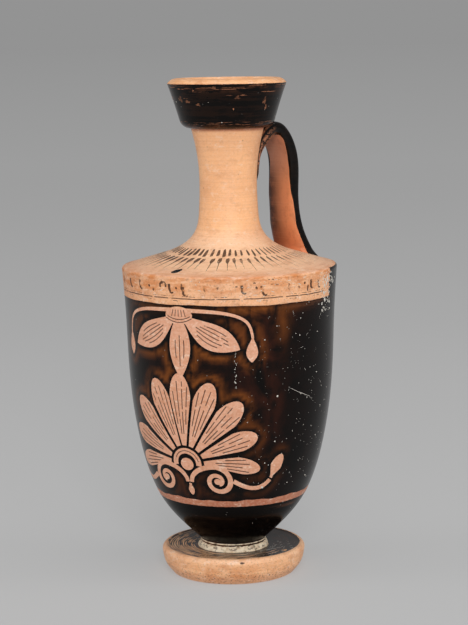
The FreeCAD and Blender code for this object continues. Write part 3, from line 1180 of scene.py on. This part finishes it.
outer_rows = rows[stem_row:lip_row + 1]
fillet_reach = 2.6


def outside_by(places):
    """Signed distance of points from the outer wall, positive outside."""
    spots = np.stack([np.hypot(places[:, 0], places[:, 1]), places[:, 2]], 1)
    span = outer_rows[1:] - outer_rows[:-1]
    gap = steps_from(outer_rows[:-1], span, spots)
    reach = np.linalg.norm(gap, axis=2)
    nearest = reach.argmin(1)
    outward = np.stack([span[:, 1], -span[:, 0]], 1)
    side = (gap[np.arange(len(spots)), nearest] * outward[nearest]).sum(1)
    return np.where(side >= 0, 1, -1) * reach.min(1)


def strap_section(share):
    """The closed section of the strap, from the middle of its inner face, and its bare half width.

    The first columns on each side of the middle are the bare clay, the rest is black.
    """
    rising = min(share / upper_root_share, 1)
    landing = max((share - lower_root_share) / (1 - lower_root_share), 0)
    seated = (share - strap_seat_shares[0]) / (strap_seat_shares[1] - strap_seat_shares[0])
    seat = strap_seat * max(4 * seated * (1 - seated), 0)
    width = between(upper_root_width, strap_width, rising)
    width += (lower_root_width - strap_width) * landing ** 1.7
    thickness = between(0.65 * (neck_waist_radius - bore_radius), strap_thickness, rising)
    thickness += (lower_root_thickness - strap_thickness) * landing ** 4
    crown = between(strap_crown, lower_root_crown, landing ** 3)
    corner = min(strap_corner, thickness / 3)
    front, top = -thickness / 2, thickness / 2 + seat
    back, side = top - crown, width / 2
    flat = side - corner
    margin = 0.10 * math.sin(share * 37) + 0.05 * math.sin(share * 83 + 1)
    opening = max(1 - (max(bare_start_share - share, 0) / bare_start_reach) ** 3, 0) ** 0.33
    spread = 0.4 - 0.5 * smooth_steps(share, 0.36, 0.5) + 1.3 * smooth_steps(share, 0.52, 0.74)
    spread += 0.35 * smooth_steps(share, 0.8, 0.95)
    bare = max((flat + spread * corner + margin) * opening, 0.02)

    def along_inside(reach):
        """A point of the section, at a distance from the middle of its inner face."""
        if reach < flat:
            return reach, front
        bend = min((reach - flat) / corner, math.pi / 2)
        return flat + corner * math.sin(bend), front + corner - corner * math.cos(bend)

    turned_in = flat + corner * math.pi / 2
    right = [along_inside(bare * n) for n in (0.0, 0.34, 0.68, 1.0)]
    right += [along_inside(between(bare, turned_in, n)) for n in (0.2, 0.4, 0.6, 0.8, 1.0)]
    right += [(side, back - corner - (back - front - 2 * corner) * (1 - n)) for n in (0.5, 1.0)]
    for bend in np.radians([22.5, 45, 67.5, 90]):
        right.append((flat + corner * math.cos(bend), back - corner + corner * math.sin(bend)))
    right += [(flat * n, top - crown * n ** 2) for n in (0.8, 0.6, 0.4, 0.2)]
    return np.array(right + [(0, top)] + [(-x, y) for x, y in right[1:][::-1]]), bare


def build_strap():
    """The handle: black outside, bare inside, its roots filleted into the neck and the shoulder."""
    path = strap_line()
    shares = np.linspace(0, 1, len(path))
    tangents = np.gradient(path, axis=0)
    tangents /= np.linalg.norm(tangents, axis=1)[:, None]
    into = np.array([-shoulder_rise, shoulder_cone_radius - shoulder_edge_radius])
    into /= np.linalg.norm(into)
    rings, rims, bare_side = [], [], []
    for share, centre, tangent in zip(shares, path, tangents):
        landing = max((share - lower_root_share) / (1 - lower_root_share), 0)
        direction = between(tangent, into, landing ** 4)
        direction /= np.linalg.norm(direction)
        out = np.array([-direction[1], direction[0]])
        section, bare = strap_section(share)
        across, lift = section.T
        ring = np.stack([across, centre[0] + out[0] * lift, centre[1] + out[1] * lift], 1)
        lift = lift - (lift.min() + lift.max()) / 2
        away = np.stack([across, out[0] * lift, out[1] * lift], 1)
        away /= np.linalg.norm(away, axis=1)[:, None]
        near = fillet_reach - np.clip(outside_by(ring), 0, fillet_reach)
        push = np.clip(near ** 2 / fillet_reach * 0.42, 0, 1.1)
        push *= 0.15 + 0.85 * smooth_steps(share, 0.5, 0.8) + 1.4 * smooth_steps(share, 0.22, 0.08)
        ring = ring + away * push[:, None]
        radius = np.hypot(ring[:, 0], ring[:, 1])
        ring[:, :2] *= np.minimum(1, (shoulder_edge_radius - 0.1) / radius)[:, None]
        rings.append(ring)
        rims.append(np.abs(across) / across.max())
        bare_side.append(bare)
    rings = np.array(rings)
    stations, around = rings.shape[:2]
    places = rings.reshape(-1, 3)
    faces, parts = [], []
    bare_columns = {0, 1, 2, around - 1, around - 2, around - 3}
    for i in range(stations - 1):
        for j in range(around):
            k = (j + 1) % around
            faces.append([i * around + j, i * around + k, (i + 1) * around + k, (i + 1) * around + j])
            parts.append(1 if j in bare_columns and bare_side[i] > 0.03 else 0)
    faces.append(list(range(around))[::-1])
    faces.append([(stations - 1) * around + j for j in range(around)])
    parts += [0, 0]
    # Painted highlight: pale lines along the side faces and edges of the handle's rise, drawn through the
    # fade measure.
    highlight_columns = np.array([7, 9, 12])
    both_sides = np.concatenate([highlight_columns, around - highlight_columns])
    is_highlight_column = np.isin(np.arange(around), both_sides)
    highlight_shares = smooth_steps(shares, 0.29, 0.22) * smooth_steps(shares, 0.03, 0.08)
    values = {
        "worn": 0.02 * smooth_steps(np.concatenate(rims), 0.55, 0.95),
        "fade": 1.7 * np.outer(highlight_shares, is_highlight_column).ravel(),
        "sheen": np.ones(len(places)),
        "flecks": np.full(len(places), 0.2),
        "across": places[:, 0] / strap_width + 0.5,
        "along": places[:, 2],
    }
    return make_object("strap", places, faces, parts, None, values)


def colour(red, green, blue):
    """A colour of the screen, 0 to 255, as light."""
    levels = [level / 255 for level in (red, green, blue)]
    return tuple(v / 12.92 if v <= 0.04045 else ((v + 0.055) / 1.055) ** 2.4 for v in levels) + (1.0,)


def add_node(tree, kind, values=None, **settings):
    """A node with its settings, and its inputs joined to other nodes or set to a value."""
    node = tree.nodes.new(kind)
    for name, value in settings.items():
        setattr(node, name, value)
    for name, value in (values or {}).items():
        if isinstance(value, bpy.types.NodeSocket):
            tree.links.new(value, node.inputs[name])
        else:
            node.inputs[name].default_value = value
    return node


class Recipe:
    """The nodes of one material."""

    def __init__(self, name):
        self.material = bpy.data.materials.new(name)
        self.material.use_nodes = True
        self.tree = self.material.node_tree
        self.tree.nodes.clear()
        self.places = self.add("ShaderNodeTexCoord").outputs["Object"]
        split = self.add("ShaderNodeSeparateXYZ", {"Vector": self.places})
        self.height = split.outputs["Z"]
        level = self.times(self.measure("along"), METRES)
        around = {"X": split.outputs["X"], "Y": split.outputs["Y"], "Z": level}
        self.spread = self.add("ShaderNodeCombineXYZ", around).outputs["Vector"]

    def add(self, kind, values=None, **settings):
        """A node of this material."""
        return add_node(self.tree, kind, values, **settings)

    def measure(self, name):
        """A measure that the mesh carries."""
        return self.add("ShaderNodeAttribute", attribute_name=name).outputs["Fac"]

    def maths(self, operation, first, second=0.5, clamp=False):
        node = self.add("ShaderNodeMath", {0: first, 1: second}, operation=operation, use_clamp=clamp)
        return node.outputs[0]

    def times(self, first, second, clamp=False):
        return self.maths("MULTIPLY", first, second, clamp)

    def plus(self, first, second, clamp=False):
        return self.maths("ADD", first, second, clamp)

    def ramp(self, value, low, high):
        """0 below low and 1 above high, smooth between; falling where high is lower."""
        node = self.add("ShaderNodeMapRange", {"Value": value, "From Min": low, "From Max": high},
                        interpolation_type="SMOOTHSTEP")
        return node.outputs["Result"]

    def stretched(self, across, up, shift=0.0):
        """Places in millimetres, with the distance along the outline as height, scaled."""
        node = self.add("ShaderNodeMapping", {
            "Vector": self.spread,
            "Location": (shift, shift * 1.7, shift * 0.6),
            "Scale": (across * 1000, across * 1000, up * 1000),
        })
        return node.outputs["Vector"]

    def noise(self, across, up=None, detail=3.0, rough=0.55, shift=0.0, warp=0.0):
        """Noise with that many waves per millimetre, across and up."""
        vector = self.stretched(across, across if up is None else up, shift)
        values = {"Vector": vector, "Scale": 1.0, "Detail": detail, "Roughness": rough, "Distortion": warp}
        return self.add("ShaderNodeTexNoise", values).outputs["Fac"]

    def cells(self, size, shift=0.0):
        """Distance to the nearest of scattered points, and that point's own random number."""
        values = {"Vector": self.stretched(1 / size, 1 / size, shift), "Scale": 1.0}
        node = self.add("ShaderNodeTexVoronoi", values)
        spread = self.add("ShaderNodeSeparateColor", {"Color": node.outputs["Color"]})
        return node.outputs["Distance"], spread.outputs["Red"]

    def mix(self, share, first, second):
        """A colour between two, the second where the share is 1."""
        return self.add("ShaderNodeMix", {0: share, 6: first, 7: second}, data_type="RGBA").outputs[2]

    def layer(self, base, share, strength, tone):
        """A colour laid over the base, where the share says and as strong as the strength says."""
        return self.mix(self.times(share, strength, True), base, colour(*tone))

    def patches(self, base, waves, limits, strength, tone):
        """A colour laid over the base in the patches of a noise, and where these patches are."""
        share = self.ramp(self.noise(*waves), *limits)
        return self.layer(base, share, strength, tone), share

    def finish(self, base, roughness, height=None, depth=0.1, specular=0.5):
        """The surface, with bumps as deep in millimetres as the depth says."""
        values = {"Base Color": base, "Roughness": roughness, "Specular IOR Level": specular}
        if height is not None:
            bump = self.add("ShaderNodeBump", {"Height": height, "Strength": 1.0, "Distance": depth * METRES})
            values["Normal"] = bump.outputs["Normal"]
        surface = self.add("ShaderNodeBsdfPrincipled", values).outputs["BSDF"]
        self.add("ShaderNodeOutputMaterial", {"Surface": surface})
        return self.material


def specks(recipe, size, reach, share, shift=0.0):
    """Scattered round specks: 1 inside them. The share is how many of the cells have one."""
    distance, chance = recipe.cells(size, shift)
    chosen = recipe.maths("LESS_THAN", chance, share)
    uneven = recipe.plus(distance, recipe.times(recipe.noise(2.2 / size, shift=shift), 0.35))
    return recipe.times(chosen, recipe.ramp(uneven, reach + 0.30, reach + 0.12))


def clay_colour(recipe):
    """Fired clay: warm, pinker in places, with turning lines, mottling and specks, and with painted highlight
    and painted shade where the measures say.
    """
    coarse = recipe.plus(1.0, recipe.times(recipe.measure("smooth"), -0.45))
    base = recipe.mix(recipe.measure("pink"), colour(252, 191, 138), colour(236, 176, 143))
    # The pale measure lightens the shoulder, most towards the neck, and the foot's edge, where it is a
    # painted highlight.
    base = recipe.layer(base, recipe.measure("pale"), 1.0, (252, 203, 161))
    # The dull measure darkens the clay, in places as painted shade.
    base = recipe.layer(base, recipe.measure("dull_and_shade"), 1.0, (184, 106, 74))
    base, _ = recipe.patches(base, (0.045, 0.06, 4.0), (0.42, 0.68), 0.26, (206, 136, 92))
    base, turning = recipe.patches(base, (0.012, 1.3, 5.0, 0.72), (0.44, 0.62), 0.17, (196, 128, 86))
    grains = []
    for waves, limits, scale, strength, tone in (
        ((0.22, 0.3, 4.0, 0.65, 11.0), (0.50, 0.64), coarse, 0.30, (182, 112, 70)),
        ((0.3, 0.5, 5.0, 0.7, 15.0), (0.56, 0.66), coarse, 0.5, (250, 222, 198)),
        ((1.1, 1.1, 3.0, 0.55, 3.0), (0.42, 0.62), coarse, 0.16, (250, 220, 194)),
        ((0.16, 0.5, 4.0, 0.65, 7.0), (0.42, 0.58), recipe.measure("stain"), 0.85, (214, 128, 62)),
        ((1.5, 1.9, 3.0, 0.6, 17.0), (0.54, 0.66), recipe.measure("pits"), 0.9, (122, 70, 40)),
    ):
        base, share = recipe.patches(base, waves, limits, recipe.times(scale, strength), tone)
        grains.append(share)
    base = recipe.layer(base, specks(recipe, 1.9, 0.06, 0.10, 5.0), 0.55, (120, 78, 52))
    return base, recipe.plus(recipe.times(turning, 0.5), recipe.times(grains[2], 0.5))


def make_clay():
    """The bare clay."""
    recipe = Recipe("bare clay")
    base, height = clay_colour(recipe)
    return recipe.finish(base, 0.5, height, 0.05, 0.6)


def make_ink():
    """Thin painted strokes, rubbed away in places down to the clay."""
    recipe = Recipe("painted strokes")
    base, height = clay_colour(recipe)
    rubbed = recipe.noise(0.75, detail=4.0, rough=0.65, shift=9.0)
    kept = recipe.ramp(recipe.plus(rubbed, recipe.times(recipe.measure("fade"), -0.5)), 0.16, 0.34)
    tone = recipe.mix(recipe.noise(0.4, shift=4.0), colour(24, 15, 11), colour(84, 50, 32))
    base = recipe.mix(recipe.times(kept, 0.93), base, tone)
    return recipe.finish(base, 0.45, height, 0.04, 0.3)


def make_gloss(name, specular):
    """The black coat: brown where it is thin, with specks of lime, worn streaks and rubbed spots, and painted
    highlight lines on the handle.
    """
    recipe = Recipe(name)
    brush = recipe.noise(0.20, 0.10, 4.0, 0.55, warp=0.9)
    cloud = recipe.noise(0.09, 0.09, 4.0, 0.6, shift=2.0, warp=0.8)
    streaks = recipe.noise(0.035, 0.85, 5.0, 0.7, shift=6.0)
    spots = recipe.noise(0.22, 0.4, 4.0, 0.65, shift=8.0)
    base = colour(9, 6, 5)
    for first, part, second, rest, limits, measure, tone in (
        (brush, 0.35, cloud, 0.75, (0.38, 0.78), "amber", (72, 32, 18)),
        (brush, 0.3, cloud, 0.7, (0.34, 0.58), "halo", (128, 70, 26)),
        (streaks, 0.65, spots, 0.4, (0.48, 0.59), "worn", (124, 76, 50)),
    ):
        thin = recipe.ramp(recipe.plus(recipe.times(first, part), recipe.times(second, rest)), *limits)
        base = recipe.layer(base, thin, recipe.measure(measure), tone)
    # Where the fade measure says, the black is rubbed to pale clay; on the handle's rise these are painted
    # highlight lines.
    rubbed = recipe.ramp(recipe.noise(0.7, 1.1, 4.0, 0.65, shift=9.0), 0.36, 0.58)
    share = recipe.times(rubbed, recipe.times(recipe.measure("fade"), 0.75), True)
    base = recipe.layer(base, share, 1.0, (176, 116, 84))
    flecks = recipe.measure("flecks")
    lime = specks(recipe, 0.9, 0.06, recipe.times(flecks, 0.12), 1.0)
    grit = specks(recipe, 2.4, 0.0, recipe.times(flecks, 0.16), 12.0)
    white = recipe.maths("MAXIMUM", lime, grit)
    base = recipe.layer(base, white, 0.7, (222, 218, 208))
    rough = recipe.plus(recipe.plus(recipe.times(share, 0.25), recipe.times(white, 0.4)), 0.2)
    height = recipe.plus(recipe.times(cloud, 0.6), recipe.times(white, 0.3))
    return recipe.finish(base, rough, height, 0.05, recipe.times(recipe.measure("sheen"), specular))


def make_bare_inside():
    """The unpainted inner face of the handle, brown, with painted shade that darkens it towards one side."""
    recipe = Recipe("bare clay with painted shade")
    drift = recipe.times(recipe.noise(0.12, 0.04, 4.0), 0.26)
    # Painted shade: the face goes from orange to near black across its width.
    painted_side_shade = recipe.ramp(recipe.plus(recipe.measure("across"), drift), 1.02, 0.22)
    base = recipe.mix(painted_side_shade, colour(220, 138, 92), colour(52, 25, 16))
    base = recipe.layer(base, recipe.ramp(recipe.height, 0.138, 0.151), 0.45, (204, 142, 116))
    base = recipe.layer(base, recipe.ramp(recipe.height, 0.126, 0.116), 0.4, (184, 98, 58))
    base, mottle = recipe.patches(base, (0.5, 0.35, 4.0, 0.65, 3.0), (0.44, 0.66), 0.28, (150, 90, 60))
    base, _ = recipe.patches(base, (0.05, 1.6, 4.0, 0.7, 5.0), (0.48, 0.62), 0.08, (226, 158, 116))
    return recipe.finish(base, 0.5, mottle, 0.03, 0.3)


def make_plaster():
    """Pale plaster with dirt in its hollows."""
    recipe = Recipe("old plaster")
    pale = colour(243, 226, 200)
    base, patches = recipe.patches(pale, (0.6, 0.6, 4.0, 0.55, 5.0), (0.4, 0.7), 1.0, (214, 188, 156))
    base, _ = recipe.patches(base, (0.7, 0.7, 4.0, 0.55, 1.0), (0.54, 0.62), 0.7, (84, 60, 44))
    return recipe.finish(base, 0.8, patches, 0.12, 0.2)


def make_lime():
    """White lime."""
    recipe = Recipe("lime crust")
    tone = recipe.mix(recipe.noise(0.8, shift=2.0), colour(232, 228, 220), colour(196, 188, 174))
    return recipe.finish(tone, 0.85, None, 0.05, 0.2)


plaster = make_plaster()
lime = make_lime()


def place_piece(piece, *materials):
    """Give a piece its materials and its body."""
    for material in materials:
        piece.data.materials.append(material)
    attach(piece, "root")


flask = build_flask()
place_piece(flask, make_clay(), make_gloss("black gloss", 0.13), make_ink(), lime, plaster)
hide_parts("lekythos")
strap = build_strap()
place_piece(strap, make_gloss("black gloss of the handle", 0.2), make_bare_inside())


def ring_around(loop_at, count=160):
    """A closed ring round the stem, of a section that changes a little on the way."""
    places, faces = [], []
    for angle in np.linspace(0, 2 * math.pi, count, endpoint=False):
        loop = loop_at(angle)
        places.extend((r * math.sin(angle), -r * math.cos(angle), z) for r, z in loop)
    around = len(loop)
    for i in range(count):
        for j in range(around):
            k, n = (j + 1) % around, (i + 1) % count
            faces.append([i * around + j, n * around + j, n * around + k, i * around + k])
    return places, faces


def build_stem_filler():
    """Pale plaster round the stem: a lumpy ring over the bead and a thin line above the groove."""
    draw = np.random.default_rng(5)
    lumps = (1, 2, 3, 5, 8, 13, 21, 34)
    waves = [(n, draw.uniform(0.02, 0.16) / n ** 0.35, draw.uniform(0, 7)) for n in lumps]

    def lump(angle, shift=0.0):
        """How far the plaster stands out at an angle."""
        return sum(size * math.sin(n * angle + phase + shift) for n, size, phase in waves)

    def low_loop(angle):
        """The section of the ring over the bead."""
        reach = 12.1 + 0.25 * lump(angle) + 0.35 * math.cos(angle + math.radians(41))
        top = 10.25 + 0.30 * lump(angle, 2.0)
        return [
            (11.3, 8.5),
            (reach + 0.5, 8.75),
            (reach + 0.55, 9.0),
            (reach + 0.4, 9.5),
            (reach - 0.05, top - 0.35),
            (reach - 0.5, top),
            (11.3, top - 0.1),
        ]

    def high_loop(angle):
        """The section of the line above the groove."""
        reach = 11.80 + 0.42 * lump(angle, 4.0)
        low = 11.25 + 0.22 * lump(angle, 1.0)
        return [
            (11.2, low),
            (reach, low + 0.05),
            (reach + 0.14, low + 0.3),
            (reach - 0.1, low + 0.6),
            (11.2, low + 0.65),
        ]

    places, faces = ring_around(low_loop)
    more, more_faces = ring_around(high_loop)
    faces += [[len(places) + v for v in face] for face in more_faces]
    return make_object("stem_filler", places + more, faces)


def crust_spots(draw):
    """Angle, height, size and tallness of each flake of lime."""
    for _ in range(170):
        angle, height = draw.uniform(52, 118), draw.uniform(36, 102)
        yield angle, height, draw.exponential(0.07) + 0.05, draw.uniform(0.6, 1.6)
    for _ in range(110):
        angle, height = draw.normal(112, 4), draw.uniform(97, 111)
        yield angle, height, draw.exponential(0.13) + 0.08, draw.uniform(1, 2.4)
    for step in range(26):
        angle = 51.5 + 0.3 * math.sin(step) + draw.normal(0, 0.15)
        yield angle, 73 + step * 0.6 + draw.normal(0, 0.3), draw.uniform(0.05, 0.16), 2.0
    for _ in range(50):
        yield draw.uniform(-180, 180), draw.uniform(20, 100), draw.uniform(0.05, 0.15), 1.0
    for _ in range(12):
        yield draw.uniform(-180, 180), draw.uniform(161, 175), draw.uniform(0.1, 0.25), 1.0


def build_crust():
    """Flakes and grains of lime on the black, in relief."""
    draw = np.random.default_rng(21)
    places, faces = [], []
    sides = 7
    spots = list(crust_spots(draw))
    for angle, height, size, tall in spots:
        ((radius, level),), ((out, up),) = along_to_section(np.array([along_height(height)]))
        turn = math.radians(angle)
        middle = Vector((radius * math.sin(turn), -radius * math.cos(turn), level))
        normal = Vector((out * math.sin(turn), -out * math.cos(turn), up))
        across = Vector((math.cos(turn), math.sin(turn), 0))
        above = across.cross(normal)
        start = len(places)
        rough = draw.uniform(0.6, 1.2, sides)
        for share, lift in ((1.0, -0.06), (0.75, 0.05)):
            for k in range(sides):
                bend = 2 * math.pi * k / sides
                reach = size * rough[k] * share
                edge = across * (reach * math.cos(bend)) + above * (reach * tall * math.sin(bend))
                places.append(tuple(middle + edge + normal * lift))
        places += [tuple(middle + normal * 0.08), tuple(middle - normal * 0.08)]
        for k in range(sides):
            n = (k + 1) % sides
            faces.append([start + k, start + n, start + sides + n, start + sides + k])
            faces.append([start + sides + k, start + sides + n, start + 2 * sides])
            faces.append([start + n, start + k, start + 2 * sides + 1])
    return make_object("lime_crust", places, faces)


place_piece(build_stem_filler(), plaster)
place_piece(build_crust(), lime)


def build_floor():
    """A wide disc under the pot, its tone fading with distance into the background's."""
    count = 96
    radii = (0.2, 0.6, 1.5, 4.0, 12.0, 40.0)
    turn = np.linspace(0, 2 * math.pi, count, endpoint=False)
    places = [(0, 0, 0)]
    for radius in radii:
        places += [(radius * math.cos(a), radius * math.sin(a), 0) for a in turn]
    faces = [[0, 1 + k, 1 + (k + 1) % count] for k in range(count)]
    for ring in range(len(radii) - 1):
        low, high = 1 + ring * count, 1 + (ring + 1) * count
        for k in range(count):
            n = (k + 1) % count
            faces.append([low + k, high + k, high + n, low + n])
    mesh = bpy.data.meshes.new("floor")
    mesh.from_pydata(places, [], faces)
    floor = bpy.data.objects.new("floor", mesh)
    bpy.context.scene.collection.objects.link(floor)
    recipe = Recipe("floor")
    distance = recipe.add("ShaderNodeVectorMath", {0: recipe.places}, operation="LENGTH").outputs["Value"]
    share = recipe.maths("DIVIDE", distance, recipe.plus(distance, 1.0))
    tones = recipe.add("ShaderNodeValToRGB", {"Fac": share})
    stops = ((0.0, 0.29), (0.38, 0.29), (0.70, 0.335), (0.86, 0.31), (0.97, 0.292))
    while len(tones.color_ramp.elements) < len(stops):
        tones.color_ramp.elements.new(0.5)
    for element, (spot, level) in zip(tones.color_ramp.elements, stops):
        element.position = spot
        element.color = (level, level, level, 1)
    glow = recipe.add("ShaderNodeEmission", {"Color": tones.outputs["Color"], "Strength": 1.0})
    albedo = recipe.mix(recipe.ramp(distance, 2.5, 0.4), (0.01, 0.01, 0.01, 1), (0.24, 0.24, 0.24, 1))
    matt = recipe.add("ShaderNodeBsdfDiffuse", {"Color": albedo})
    both = recipe.add("ShaderNodeAddShader", {0: glow.outputs[0], 1: matt.outputs[0]})
    recipe.add("ShaderNodeOutputMaterial", {"Surface": both.outputs[0]})
    mesh.materials.append(recipe.material)
    return floor


def build_world():
    """Plain grey for the eye and for glints, and a dim even light for the rest."""
    world = bpy.data.worlds.new("surroundings")
    bpy.context.scene.world = world
    world.use_nodes = True
    tree = world.node_tree
    tree.nodes.clear()
    seen = add_node(tree, "ShaderNodeBackground", {"Color": colour(147, 147, 147)})
    light = add_node(tree, "ShaderNodeBackground", {"Color": (0.12, 0.12, 0.12, 1)})
    rays = add_node(tree, "ShaderNodeLightPath").outputs
    shown = rays["Is Camera Ray"]
    for kind in ("Is Glossy Ray", "Is Transmission Ray"):
        shown = add_node(tree, "ShaderNodeMath", {0: shown, 1: rays[kind]}, operation="MAXIMUM").outputs[0]
    mix = add_node(tree, "ShaderNodeMixShader", {0: shown, 1: light.outputs[0], 2: seen.outputs[0]})
    add_node(tree, "ShaderNodeOutputWorld", {"Surface": mix.outputs[0]})


def round_the_pot(azimuth, elevation, distance):
    """A step from the axis, in metres, towards an angle round the pot and an angle up."""
    turn, lift = math.radians(azimuth), math.radians(elevation)
    flat = distance * math.cos(lift)
    return Vector((math.sin(turn) * flat, -math.cos(turn) * flat, distance * math.sin(lift)))


def add_softbox(name, azimuth, elevation, distance, wide, tall, power, mirrored=True):
    """An area lamp that looks at the pot. Azimuth is the angle round the pot."""
    lamp = bpy.data.lights.new(name, "AREA")
    lamp.shape = "RECTANGLE"
    lamp.size = wide
    lamp.size_y = tall
    lamp.energy = power
    body = bpy.data.objects.new(name, lamp)
    away = round_the_pot(azimuth, elevation, distance)
    body.location = Vector((0, 0, pot_middle)) + away
    body.rotation_euler = (-away).to_track_quat("-Z", "Y").to_euler()
    body.visible_glossy = mirrored
    bpy.context.scene.collection.objects.link(body)


def add_camera():
    """The photo's view: its angle round the pot, distance, height, tilt and roll were fitted."""
    camera = bpy.data.cameras.new("camera")
    camera.sensor_width = 36.0
    camera.lens = camera_lens
    camera.clip_end = 200
    body = bpy.data.objects.new("camera", camera)
    turn = math.radians(camera_angle)
    right = Vector((math.cos(turn), math.sin(turn), 0))
    stand = round_the_pot(camera_angle, 0, camera_distance)
    body.location = stand + Vector((0, 0, camera_height)) + right * camera_side_step
    facing = (
        Matrix.Rotation(turn, 3, "Z")
        @ Matrix.Rotation(math.radians(90 - camera_tilt_down), 3, "X")
        @ Matrix.Rotation(math.radians(-camera_roll), 3, "Z")
    )
    body.rotation_euler = facing.to_euler()
    bpy.context.scene.collection.objects.link(body)
    bpy.context.scene.camera = body


# Angles in degrees, lengths in metres, the lens in millimetres
pot_middle = 0.09
camera_angle = 49.0
camera_distance = 0.6697
camera_height = 0.1918
camera_side_step = 0.001384
camera_tilt_down = 8.29
camera_roll = 0.84
camera_lens = 108.46
floor = build_floor()
build_world()
add_softbox("left", camera_angle - 80, 12, 1.1, 0.4, 0.9, 4, False)
add_softbox("right", camera_angle + 80, 12, 1.1, 0.4, 0.9, 4, False)
add_softbox("top", camera_angle + 10, 68, 1.2, 0.9, 0.9, 4.7)
add_softbox("front", camera_angle + 3, 24, 1.5, 0.5, 0.4, 12.6)
add_camera()
bpy.context.scene.view_settings.view_transform = "Standard"
